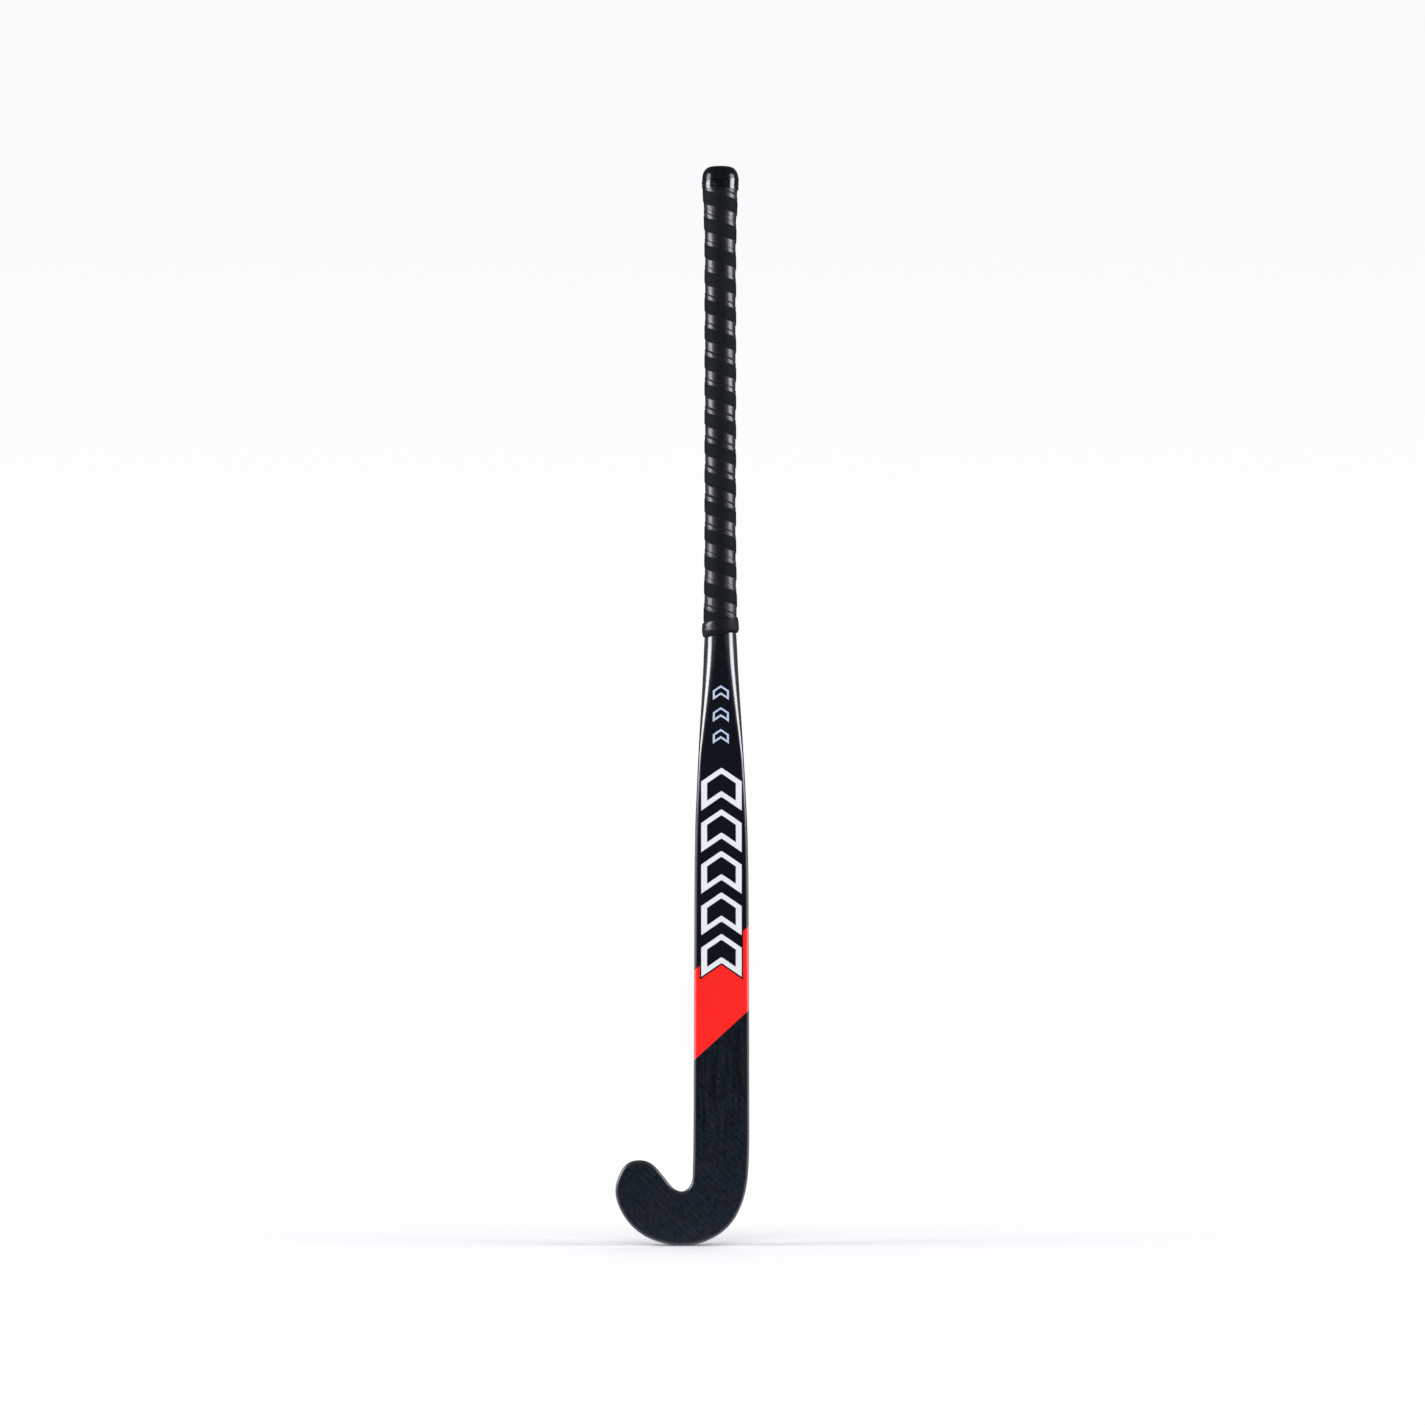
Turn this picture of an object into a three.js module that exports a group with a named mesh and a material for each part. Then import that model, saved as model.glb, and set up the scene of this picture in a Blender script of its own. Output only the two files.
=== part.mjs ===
// Field hockey stick, 36.5 inch, composite, hook to the left of the flat playing face.
//
// Frame: millimetres, +Z up the stick, +X towards the heel side, the flat playing face looks
// towards -Y.  The origin is the middle of the footprint, level with the lowest point of the hook.
//
// The stick is described by stations along its middle line.  At each one a "spoke" runs from the
// middle line to the edge on either side, and carries a half section: a flat face in front, a
// rounded front edge and a crowned back.  Down the shaft the spokes are level; round the hook
// they turn with the middle line, and at the tip of the toe they fan out from one last point.
import * as THREE from "three";

// ---------------------------------------------------------------- driving dimensions (mm)
const LENGTH = 927; // 36.5 inch
const FACE_Y = -20.68; // y of the playing face at the very bottom
const BOW_SLOPE = 0.1286; // lean of the flat head face
const BOW_STRAIGHT = 90; // the head face is one plane up to here
const BOW_PEAK = 260; // height where the bow is deepest
const BOW_TOP = 520; // above here the handle runs straight
const HOOK_TOP = 90; // spokes are level above here and turn below
const WALL = 2.6; // outer laminate
const FIT = 0.3; // clearance between parts inside
const SHELL_TOP = 907;

const RING = 20; // points round the handle
const HALF = 10; // steps from the middle of the face, over the edge, to the middle of the back
const FAN = 10; // steps of the half turn round the tip of the toe
const HOOK_STEPS = 17;
const CORE_STEPS = 13;

// middle line of the blade and hook, from the shaft to the middle of the toe [x, z]
const MIDDLE_LINE = [
  [33.6, 122], [33.52, 106], [33.45, 90], [33.2, 74], [32.4, 59.5], [30.4, 47.5],
  [26.6, 38.7], [21.6, 32.1], [15.1, 27.2], [8.4, 24.5], [1.1, 23.2], [-6.2, 23.5],
  [-13.4, 25.5], [-20.0, 28.8], [-26.0, 33.5], [-30.8, 39.2], [-34.2, 45.4], [-36.5, 52.6],
];
// edge of the hook, from the toe side of the shaft, round the crook, the toe and the heel [x, z]
const HOOK_EDGE = [
  [9.75, 122], [9.62, 106], [9.5, 90.5], [9.35, 76.5], [9.1, 64.6], [8.35, 55.6], [5.9, 50.0],
  [1.2, 46.6], [-4.3, 47.05], [-9.2, 50.4], [-13.9, 56.1], [-18.9, 62.3], [-24.3, 68.1],
  [-30.6, 71.9], [-37.4, 72.9], [-44.3, 71.6], [-49.9, 67.6], [-53.6, 61.6], [-56.3, 54.6],
  [-57.45, 47.2], [-56.8, 41.0], [-54.4, 33.4], [-50.3, 25.5], [-44.6, 18.1], [-37.6, 11.8],
  [-29.4, 6.75], [-20.3, 3.3], [-10.6, 0.8], [-0.6, 0.0], [9.4, 0.9], [19.1, 3.45],
  [28.2, 7.65], [36.3, 13.3], [43.2, 20.75], [48.5, 29.7], [52.3, 39.2], [54.75, 49.3],
  [56.3, 60.6], [57.1, 73.4], [57.48, 88.5], [57.5, 105], [57.52, 122],
];
// bare stick above the hook [z, half width, x of the middle]
const SHAFT = [
  [122, 23.9, 33.6], [176, 23.76, 33.68], [228, 23.64, 33.66], [262, 23.5, 33.68],
  [297, 23.35, 33.66], [331, 23.05, 33.62], [348, 22.72, 33.56], [365, 22.2, 33.46],
  [382, 21.42, 33.38], [400, 20.55, 33.3], [417, 19.7, 33.22], [434, 18.76, 33.16],
  [451, 17.7, 33.1], [468, 16.58, 33.04], [485, 15.6, 32.98], [503, 14.68, 32.9],
  [520, 13.9, 32.82], [530, 13.25, 32.78], [540, 12.72, 32.74], [554, 12.2, 32.7],
  [571, 11.88, 32.66], [600, 11.6, 32.6], [650, 11.5, 32.6], [LENGTH, 11.5, 32.6],
];
// thickness of the bare stick from face to back [z, thickness]
const THICKNESS = [
  [90, 21.5], [150, 21.1], [200, 21.0], [300, 21.3], [350, 21.7], [390, 22.2], [420, 23.0],
  [450, 24.2], [480, 25.5], [505, 26.4], [523, 26.4], [550, 25.2], [580, 24.6], [620, 24.4],
  [LENGTH, 24.4],
];
// the same round the hook [distance along the middle line from HOOK_TOP, thickness]
const HOOK_THICKNESS = [[0, 21.5], [25, 22.1], [50, 22.7], [85, 22.7], [115, 21.8], [150, 20.4]];
// front edge [z, radius]; where the radius reaches the half width the front is round
const EDGE_RADIUS = [
  [90, 2.9], [340, 3.2], [380, 3.6], [417, 4.3], [434, 6.8], [451, 9.4], [468, 11.2],
  [485, 12.8], [503, 14.2], [520, 14.2], [LENGTH, 14.2],
];
// crown of the back [z, power of its superellipse]; 2 is an ellipse, more is fuller
const BACK_POWER = [[420, 2.4], [505, 2]];

// heights of the shaft stations of the laminate
const SHAFT_HEIGHTS = [
  SHELL_TOP, 880, 650, 600, 571, 554, 540, 530, 520, 503, 485, 468, 451, 434, 417, 400, 382,
  365, 348, 331, 312, 290, 268, 246, 224, 202, 180, 158, 136, 113,
];

// ---------------------------------------------------------------- curves
// Second column of the rows, interpolated linearly over the first and held beyond the ends.
function interpolate(rows, x) {
  if (x <= rows[0][0]) return rows[0][1];
  for (let i = 1; i < rows.length; i++) {
    const [x0, y0] = rows[i - 1];
    const [x1, y1] = rows[i];
    if (x <= x1) return y0 + ((x - x0) / (x1 - x0)) * (y1 - y0);
  }
  return rows.at(-1)[1];
}

// Second derivatives of the natural cubic spline through the values: a tridiagonal system.
function secondDerivatives(knots, values) {
  const n = knots.length;
  const diagonal = new Array(n).fill(1);
  const above = new Array(n).fill(0);
  const right = new Array(n).fill(0);
  const result = new Array(n).fill(0);
  for (let i = 1; i < n - 1; i++) {
    const before = knots[i] - knots[i - 1];
    const after = knots[i + 1] - knots[i];
    const ratio = before / 6 / diagonal[i - 1];
    above[i] = after / 6;
    diagonal[i] = (before + after) / 3 - ratio * above[i - 1];
    right[i] = (values[i + 1] - values[i]) / after - (values[i] - values[i - 1]) / before;
    right[i] -= ratio * right[i - 1];
  }
  for (let i = n - 2; i > 0; i--) result[i] = (right[i] - above[i] * result[i + 1]) / diagonal[i];
  return result;
}

// Natural cubic spline through points in the plane, by chord length.
function spline(points) {
  const knots = [0];
  for (let i = 1; i < points.length; i++) {
    const [x0, y0] = points[i - 1];
    const [x1, y1] = points[i];
    knots.push(knots[i - 1] + Math.hypot(x1 - x0, y1 - y0));
  }
  const bends = [0, 1].map((axis) => secondDerivatives(knots, points.map((p) => p[axis])));
  const at = (distance) => {
    let i = 1;
    while (i < knots.length - 1 && distance > knots[i]) i++;
    const span = knots[i] - knots[i - 1];
    const u = (knots[i] - distance) / span;
    const v = (distance - knots[i - 1]) / span;
    return [0, 1].map((axis) => {
      const bend = (u ** 3 - u) * bends[axis][i - 1] + (v ** 3 - v) * bends[axis][i];
      return u * points[i - 1][axis] + v * points[i][axis] + (bend * span * span) / 6;
    });
  };
  return { at, length: knots.at(-1) };
}

// Smooth function of height through one column of a table whose last two rows are equal:
// constant from the first of them up.  Results are remembered, as each takes a bisection.
function smoothByHeight(rows, column) {
  const curve = spline(rows.map((row) => [row[0], row[column]]));
  const known = new Map();
  const bisect = (z) => {
    let low = 0;
    let high = curve.length;
    for (let i = 0; i < 40; i++) {
      const mid = (low + high) / 2;
      if (curve.at(mid)[0] < z) low = mid;
      else high = mid;
    }
    return curve.at((low + high) / 2)[1];
  };
  return (z) => {
    if (z >= rows.at(-2)[0]) return rows.at(-1)[column];
    const key = z.toFixed(4);
    if (!known.has(key)) known.set(key, bisect(z));
    return known.get(key);
  };
}
const halfWidthAt = smoothByHeight(SHAFT, 1);
const middleXAt = smoothByHeight(SHAFT, 2);
const thicknessAt = smoothByHeight(THICKNESS, 1);

// y of the playing face (or of the front of the handle) at height z
function faceY(z) {
  const lower = BOW_PEAK - BOW_STRAIGHT;
  const upper = BOW_TOP - BOW_PEAK;
  const peak = BOW_SLOPE * BOW_STRAIGHT + (BOW_SLOPE * lower) / 2;
  const handleSlope = -peak / (LENGTH - BOW_TOP + upper / 2); // back to zero at the top
  if (z <= BOW_STRAIGHT) return FACE_Y + BOW_SLOPE * z;
  if (z <= BOW_PEAK) {
    const rise = z - BOW_STRAIGHT;
    return FACE_Y + BOW_SLOPE * z - (BOW_SLOPE * rise * rise) / (2 * lower);
  }
  if (z <= BOW_TOP) return FACE_Y + peak + (handleSlope * (z - BOW_PEAK) ** 2) / (2 * upper);
  return FACE_Y + peak + (handleSlope * upper) / 2 + handleSlope * (z - BOW_TOP);
}

// Depths behind the face at u along a spoke (0 middle, 1 edge).
function frontDepth(u, reach, radius) {
  const fromEdge = (1 - u) * reach;
  if (fromEdge >= radius) return 0;
  return radius - Math.sqrt(Math.max(0, radius ** 2 - (radius - fromEdge) ** 2));
}
const backDepth = (u, thickness, radius, power) =>
  radius + (thickness - radius) * Math.pow(Math.max(0, 1 - Math.pow(u, power)), 1 / power);

// ---------------------------------------------------------------- stations and spokes
// A station: mid [x, z] on the middle line, a toe and a heel spoke { dir, reach }, and the
// thickness, edge radius and back power of its section.
function shaftStation(z) {
  const reach = halfWidthAt(z);
  return {
    mid: [middleXAt(z), z],
    toe: { dir: [-1, 0], reach },
    heel: { dir: [1, 0], reach },
    thickness: thicknessAt(z),
    edgeRadius: Math.min(interpolate(EDGE_RADIUS, z), reach),
    backPower: interpolate(BACK_POWER, z),
  };
}

const hookEdge = spline(HOOK_EDGE);
const hookOutline = [];
for (let s = 0; s <= hookEdge.length; s += 0.5) hookOutline.push(hookEdge.at(s));

// The spoke from a point in a direction to the nearest crossing of the hook's outline.
function hookSpoke(mid, dir) {
  let reach = Infinity;
  for (let i = 1; i < hookOutline.length; i++) {
    const [startX, startZ] = hookOutline[i - 1];
    const edgeX = hookOutline[i][0] - startX;
    const edgeZ = hookOutline[i][1] - startZ;
    const det = dir[1] * edgeX - dir[0] * edgeZ;
    if (Math.abs(det) < 1e-9) continue;
    const toX = startX - mid[0];
    const toZ = startZ - mid[1];
    const distance = (toZ * edgeX - toX * edgeZ) / det;
    const share = (dir[0] * toZ - dir[1] * toX) / det; // place along the piece of outline
    const crosses = share >= -1e-6 && share <= 1 + 1e-6;
    if (crosses && distance > 0.5 && distance < reach) reach = distance;
  }
  return { dir, reach };
}

const middleLine = spline(MIDDLE_LINE);
// Distance along the middle line, beyond a start, at which it has come down to a height.
function distanceDownTo(height, start) {
  let s = 0;
  while (middleLine.at(start + s)[1] > height) s += 0.01;
  return s;
}
const hookStart = distanceDownTo(HOOK_TOP, 0);
const hookLength = middleLine.length - hookStart;

// Station at a distance along the middle line from HOOK_TOP; along is the line's direction.
function hookStation(distance) {
  const s = hookStart + distance;
  const mid = middleLine.at(s);
  const before = middleLine.at(s - 0.05);
  const after = middleLine.at(Math.min(middleLine.length, s + 0.05));
  const chord = Math.hypot(after[0] - before[0], after[1] - before[1]);
  const along = [(after[0] - before[0]) / chord, (after[1] - before[1]) / chord];
  return {
    mid,
    along,
    toe: hookSpoke(mid, [along[1], -along[0]]), // travelling down, the toe side is on the right
    heel: hookSpoke(mid, [-along[1], along[0]]),
    thickness: interpolate(HOOK_THICKNESS, distance),
    edgeRadius: interpolate(EDGE_RADIUS, HOOK_TOP),
    backPower: interpolate(BACK_POWER, HOOK_TOP),
  };
}

// Spoke i of the fan at the tip of the toe, turning from the toe side to the heel side.
function fanSpoke({ mid, toe, along }, i) {
  const angle = (Math.PI * i) / FAN;
  const turn = (axis) => toe.dir[axis] * Math.cos(angle) + along[axis] * Math.sin(angle);
  return hookSpoke(mid, [turn(0), turn(1)]);
}

function spokePoint(station, { dir }, distance, depth) {
  const z = station.mid[1] + dir[1] * distance;
  return [station.mid[0] + dir[0] * distance, faceY(z) + depth, z];
}

// Points of one half section, from the middle of the front to the middle of the back.
// inset shrinks it inwards, gap keeps it clear of the plane through the middle line, edgeInset
// takes something more off the edge alone.
function halfSection(station, spoke, { inset = 0, gap = 0, edgeInset = 0, steps = HALF }) {
  const reach = spoke.reach - inset - edgeInset;
  const thickness = station.thickness - 2 * inset;
  const radius = Math.min(Math.max(station.edgeRadius - inset, 0.5), reach);
  const points = [];
  for (let k = 0; k <= steps; k++) {
    const u = k === steps ? 0 : Math.sin((Math.PI * k) / steps);
    const depth =
      2 * k <= steps
        ? frontDepth(u, reach, radius)
        : backDepth(u, thickness, radius, station.backPower);
    points.push(spokePoint(station, spoke, gap + (reach - gap) * u, inset + depth));
  }
  return points;
}

// Half sections from the top of the toe side, round the toe, to the top of the heel side.
// edgeInset applies to the fan and the heel side only.
function spokeRows(stations, inset, edgeInset = 0) {
  const last = stations.at(-1);
  const rows = stations.map((station) => halfSection(station, station.toe, { inset }));
  for (let i = 1; i < FAN; i++)
    rows.push(halfSection(last, fanSpoke(last, i), { inset, edgeInset }));
  for (const station of stations.toReversed())
    rows.push(halfSection(station, station.heel, { inset, edgeInset }));
  return rows;
}

// Evenly spaced distances round the hook, one moved to pass through the hook's lowest point.
function hookDistances() {
  const distances = [];
  for (let i = 0; i <= HOOK_STEPS; i++) distances.push((hookLength * i) / HOOK_STEPS);
  let lowest = Infinity;
  let lowestAt = 0;
  for (let s = 0; s < hookLength; s += 0.1) {
    const { mid, heel } = hookStation(s);
    const z = mid[1] + heel.dir[1] * heel.reach;
    if (z < lowest) {
      lowest = z;
      lowestAt = s;
    }
  }
  const away = (i) => Math.abs(distances[i] - lowestAt);
  const nearest = distances.reduce((best, _, i) => (away(i) < away(best) ? i : best), 0);
  distances[nearest] = lowestAt;
  return distances;
}

// ---------------------------------------------------------------- closed bodies
// A triangle mesh that welds equal vertices and drops collapsed triangles.
class Body {
  positions = [];
  indices = [];
  known = new Map();

  vertex(point) {
    const key = point.map((x) => Math.round(x * 2e3)).join();
    if (!this.known.has(key)) {
      this.known.set(key, this.positions.length / 3);
      this.positions.push(...point);
    }
    return this.known.get(key);
  }
  triangle(...corners) {
    const [i, j, k] = corners.map((corner) => this.vertex(corner));
    if (i !== j && j !== k && k !== i) this.indices.push(i, j, k);
  }
  quad(a, b, c, d) {
    this.triangle(a, b, c);
    this.triangle(a, c, d);
  }
  // a surface of quads between neighbouring rows of points
  sheet(rows, flip = false) {
    for (let i = 0; i + 1 < rows.length; i++)
      for (let k = 0; k + 1 < rows[i].length; k++) {
        const corners = [rows[i][k], rows[i + 1][k], rows[i + 1][k + 1], rows[i][k + 1]];
        if (flip) corners.reverse();
        this.quad(...corners);
      }
  }
  // triangles are turned over if they enclose a negative volume
  geometry() {
    const { positions, indices } = this;
    const corner = (i) => new THREE.Vector3().fromArray(positions, 3 * indices[i]);
    let volume = 0;
    for (let i = 0; i < indices.length; i += 3)
      volume += corner(i).dot(corner(i + 1).cross(corner(i + 2)));
    const outward = volume < 0 ? indices.map((_, i) => indices[i + 2 - 2 * (i % 3)]) : indices;
    const geometry = new THREE.BufferGeometry();
    geometry.setAttribute("position", new THREE.Float32BufferAttribute(positions, 3));
    geometry.setIndex(outward);
    geometry.computeVertexNormals();
    return geometry;
  }
}

const close = (ring) => [...ring, ring[0]];

// A solid skinned over rings of points, capped with flat fans at both ends.
function solidOfRings(rings) {
  const solid = new Body();
  solid.sheet(rings.map(close));
  const cap = (ring, flip) => {
    for (let k = 1; k + 1 < ring.length; k++)
      if (flip) solid.triangle(ring[0], ring[k + 1], ring[k]);
      else solid.triangle(ring[0], ring[k], ring[k + 1]);
  };
  cap(rings[0], false);
  cap(rings.at(-1), true);
  return solid.geometry();
}

// A pipe with open ends, between outer rings and inner rings.
function pipeOfRings(outerRings, innerRings) {
  const pipe = new Body();
  const outer = outerRings.map(close);
  const inner = innerRings.map(close);
  pipe.sheet(outer);
  pipe.sheet(inner, true);
  pipe.sheet([inner[0], outer[0]]);
  pipe.sheet([outer.at(-1), inner.at(-1)]);
  return pipe.geometry();
}

// ---------------------------------------------------------------- groups and materials
const body = new THREE.Group();
const handle = new THREE.Group();
const marks = new THREE.Group();

function add(group, name, geometry, material) {
  const mesh = new THREE.Mesh(geometry, material);
  mesh.name = name;
  group.add(mesh);
}

const matter = (look) => new THREE.MeshStandardMaterial({ metalness: 0, ...look });
const blackLacquer = matter({ color: 0x181b22, roughness: 0.22 });
const braid = matter({ color: 0x2a2c30, roughness: 0.6 });
const aramid = matter({ color: 0xc9a846, roughness: 0.7 });
const foam = matter({ color: 0xd8cfae, roughness: 0.95 });
const coreFoam = matter({ color: 0xb9a77c, roughness: 0.95 });
const nylon = matter({ color: 0x17181a, roughness: 0.5 });
const rubber = matter({ color: 0x0b1114, roughness: 0.35 });
const vinyl = matter({ color: 0x0b0d10, roughness: 0.15 });
const underlay = matter({ color: 0x8d8a80, roughness: 0.8 });
const polyurethane = matter({ color: 0x1c1f24, roughness: 0.75 });
const clothTape = matter({ color: 0x17191d, roughness: 0.6 });
const whiteFilm = matter({ color: 0xedeff4, roughness: 0.3 });
const blueFilm = matter({ color: 0xc8d7f0, roughness: 0.3 });

// ---------------------------------------------------------------- the outer laminate
function laminateShell() {
  const stations = [...SHAFT_HEIGHTS.map(shaftStation), ...hookDistances().map(hookStation)];
  const shell = new Body();
  const outer = spokeRows(stations, 0);
  const inner = spokeRows(stations, WALL);
  shell.sheet(outer);
  shell.sheet(inner, true);
  shell.sheet([inner[0], outer[0]]); // rim of the open top, toe side half
  shell.sheet([outer.at(-1), inner.at(-1)]); // and heel side half
  return shell.geometry();
}
add(body, "laminate_shell", laminateShell(), blackLacquer);

// ---------------------------------------------------------------- inner tubes and handle foam
const TUBE_WALL = 1.2;
const TUBE_GAP = 0.2; // from each tube to the plane through the middle line
const TUBE_BOTTOM = 70;
const TUBE_BOTTOM_HALF_WIDTH = 23.7;
const TUBE_HALF = 6; // steps round each half section
const TUBE_HEIGHTS = [
  886, 650, 600, 560, 530, 503, 468, 434, 400, 365, 331, 290, 246, 202, 158, 113, 90,
];
const FOAM_HEIGHTS = [880, 650, 600, 560];

// The lowest tube station lies below HOOK_TOP but keeps its spokes level.
function tubeBottomStation() {
  const station = hookStation(distanceDownTo(TUBE_BOTTOM, hookStart));
  return {
    ...station,
    mid: [station.mid[0], TUBE_BOTTOM],
    toe: { dir: [-1, 0], reach: TUBE_BOTTOM_HALF_WIDTH },
    heel: { dir: [1, 0], reach: TUBE_BOTTOM_HALF_WIDTH },
  };
}

const tubeStations = [...TUBE_HEIGHTS.map(shaftStation), tubeBottomStation()];
const foamStations = FOAM_HEIGHTS.map(shaftStation);
for (const side of ["toe", "heel"]) {
  // rings lying a given depth within the tube's outer surface
  const rings = (stations, within) => {
    const shape = { inset: WALL + 2 * FIT + within, gap: TUBE_GAP + within, steps: TUBE_HALF };
    return stations.map((station) => halfSection(station, station[side], shape));
  };
  const tube = pipeOfRings(rings(tubeStations, 0), rings(tubeStations, TUBE_WALL));
  add(body, `inner_tube_${side}_side`, tube, braid);
  const filling = solidOfRings(rings(foamStations, TUBE_WALL + FIT));
  add(body, `handle_foam_${side}_side`, filling, foam);
}

// ---------------------------------------------------------------- head core and reinforcement
const CORE_TOP = 66;
const CORE_EDGE_INSET = 4.1; // the core's heel side gives way to the reinforcement
const RIBBON = { edgeInset: 5, thickness: 1.2, depth: 5.6, width: 5 }; // depth behind the face
const RIBBON_LAST_SPOKE = 3; // of the fan

const coreTop = distanceDownTo(CORE_TOP, hookStart);
const coreStations = [];
for (let i = 0; i <= CORE_STEPS; i++)
  coreStations.push(hookStation(coreTop + ((hookLength - coreTop) * i) / CORE_STEPS));

function headCore() {
  const rows = spokeRows(coreStations, WALL + FIT, CORE_EDGE_INSET);
  const core = new Body();
  core.sheet(rows);
  core.sheet([rows.at(-1), rows[0]]); // flat top
  return core.geometry();
}
add(body, "head_core", headCore(), coreFoam);

// a flat ribbon bent round the outside of the heel and toe, inside the laminate
function heelReinforcement() {
  const last = coreStations.at(-1);
  const spokes = coreStations.map((station) => [station, station.heel]);
  for (let i = FAN - 1; i >= RIBBON_LAST_SPOKE; i--) spokes.push([last, fanSpoke(last, i)]);
  const outer = RIBBON.edgeInset;
  const inner = outer + RIBBON.thickness;
  const front = RIBBON.depth;
  const back = front + RIBBON.width;
  const corners = [[outer, front], [outer, back], [inner, back], [inner, front]];
  return solidOfRings(
    spokes.map(([station, spoke]) =>
      corners.map(([inset, depth]) => spokePoint(station, spoke, spoke.reach - inset, depth)),
    ),
  );
}
add(body, "heel_reinforcement", heelReinforcement(), aramid);

// ---------------------------------------------------------------- round the handle
// Point on the bare handle at height z and ring position k, moved outwards by offset.
function handlePoint(z, k, offset) {
  const { mid, toe, thickness, edgeRadius, backPower } = shaftStation(z);
  const angle = (2 * Math.PI * (k % RING)) / RING;
  const side = Math.sin(angle);
  const u = Math.min(1, Math.abs(side));
  const isFront = Math.cos(angle) >= -1e-12;
  const depth = isFront
    ? frontDepth(u, toe.reach, edgeRadius)
    : backDepth(u, thickness, edgeRadius, backPower);
  // outward direction of an oval with the section's half axes
  const acrossX = Math.sign(side) * toe.reach * u;
  const acrossY = depth - edgeRadius;
  const halfDepth = isFront ? edgeRadius : thickness - edgeRadius;
  const normalX = acrossX / toe.reach ** 2;
  const normalY = Math.abs(acrossY) < 1e-6 ? 0 : acrossY / halfDepth ** 2;
  const scale = offset / Math.hypot(normalX, normalY);
  return [mid[0] + acrossX + normalX * scale, faceY(z) + depth + normalY * scale, z];
}
const handleRing = ([z, offset]) =>
  Array.from({ length: RING }, (_, k) => handlePoint(z, k, offset));

// Profiles below are [z, offset from the bare handle].

// butt plug: a flange on the end of the laminate with a spigot down its bore
const BUTT_PLUG = [
  [910.2, -0.9], [909.6, -0.3], [907.3, -0.3], [907.3, -3.3], [891.5, -3.3], [889.5, -4.0],
];
add(handle, "butt_plug", solidOfRings(BUTT_PLUG.map(handleRing)), nylon);

// end cap: a domed head with a rolled bead, and a thin skirt over the end of the handle
const CAP_OUTSIDE = [
  [LENGTH, -6.4], [926.5, -3.2], [925.3, -0.3], [923.4, 1.9], [920.2, 3.45], [917.2, 4.0],
  [914.9, 4.08], [913.0, 3.95], [912.2, 3.7], [912.2, 0.95], [886.4, 0.95], [885.2, 0.6],
];
const CAP_BORE = [[885.2, 0.2], [910.6, 0.2], [910.6, -2]];
add(handle, "end_cap", solidOfRings([...CAP_OUTSIDE, ...CAP_BORE].map(handleRing)), rubber);

// underlay: a thin sleeve beneath the grip tape
const UNDERLAY_HEIGHTS = [884, 870, 850, 650, 600, 571, 554, 540, 533];
const UNDERLAY_OUTER = 0.35;
const UNDERLAY_INNER = 0.1;
const underlayRings = (offset) => UNDERLAY_HEIGHTS.map((z) => handleRing([z, offset]));
add(
  handle,
  "grip_underlay",
  pipeOfRings(underlayRings(UNDERLAY_OUTER), underlayRings(UNDERLAY_INNER)),
  underlay,
);

// grip tape: one ribbon wound down the handle, its seams falling from left to right on the front
const GRIP_TOP = 911.6;
const GRIP_BOTTOM = 531;
const GRIP_PITCH = 24.4; // advance of the wound tape per turn
const GRIP_SEAM = 812.3; // height of one seam on the middle of the front
const GRIP_TURNS_ABOVE = 6; // turns from that seam up to the start, well above the grip
const GRIP_GAP = 0.4; // between neighbouring turns
const GRIP_LEAST_WIDTH = 1.2; // the ribbon ends where its trimmed width is less
const GRIP_INNER = [[531, 0.45], [850, 0.45], [884, 1.3], [912, 1.35]];
const GRIP_OUTER = [
  [531, 1.5], [539, 1.6], [545, 1.75], [554, 1.82], [650, 1.85], [850, 1.85], [863, 2.0],
  [880, 2.5], [900, 3.3], [912, 3.55],
];
function gripTape() {
  const start = GRIP_SEAM + GRIP_PITCH * GRIP_TURNS_ABOVE;
  const turns = Math.ceil((start - GRIP_BOTTOM) / GRIP_PITCH) + 1;
  const rings = [];
  for (let i = 0; i <= turns * RING; i++) {
    const seam = start - (GRIP_PITCH * i) / RING; // above the ribbon here
    const high = Math.min(GRIP_TOP, seam - GRIP_GAP / 2);
    const low = Math.max(GRIP_BOTTOM, seam - GRIP_PITCH + GRIP_GAP / 2);
    if (high - low < GRIP_LEAST_WIDTH) continue;
    const corner = (z, offsets) => handlePoint(z, i, interpolate(offsets, z));
    rings.push([
      corner(low, GRIP_INNER),
      corner(high, GRIP_INNER),
      corner(high, GRIP_OUTER),
      corner(low, GRIP_OUTER),
    ]);
  }
  return solidOfRings(rings);
}
add(handle, "grip_tape", gripTape(), polyurethane);

// glossy tape over the top edge of the grip and the bead of the cap
const CAP_TAPE_OUTER = [
  [916.6, 4.3], [914.9, 4.38], [912.6, 4.3], [911.0, 4.12], [907.4, 3.95], [906.6, 3.85],
];
const CAP_TAPE_INNER = [
  [916.6, 4.14], [914.9, 4.2], [912.6, 4.1], [911.0, 3.75], [907.4, 3.68], [906.6, 3.68],
];
const capTape = pipeOfRings(CAP_TAPE_OUTER.map(handleRing), CAP_TAPE_INNER.map(handleRing));
add(handle, "cap_tape", capTape, vinyl);

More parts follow.
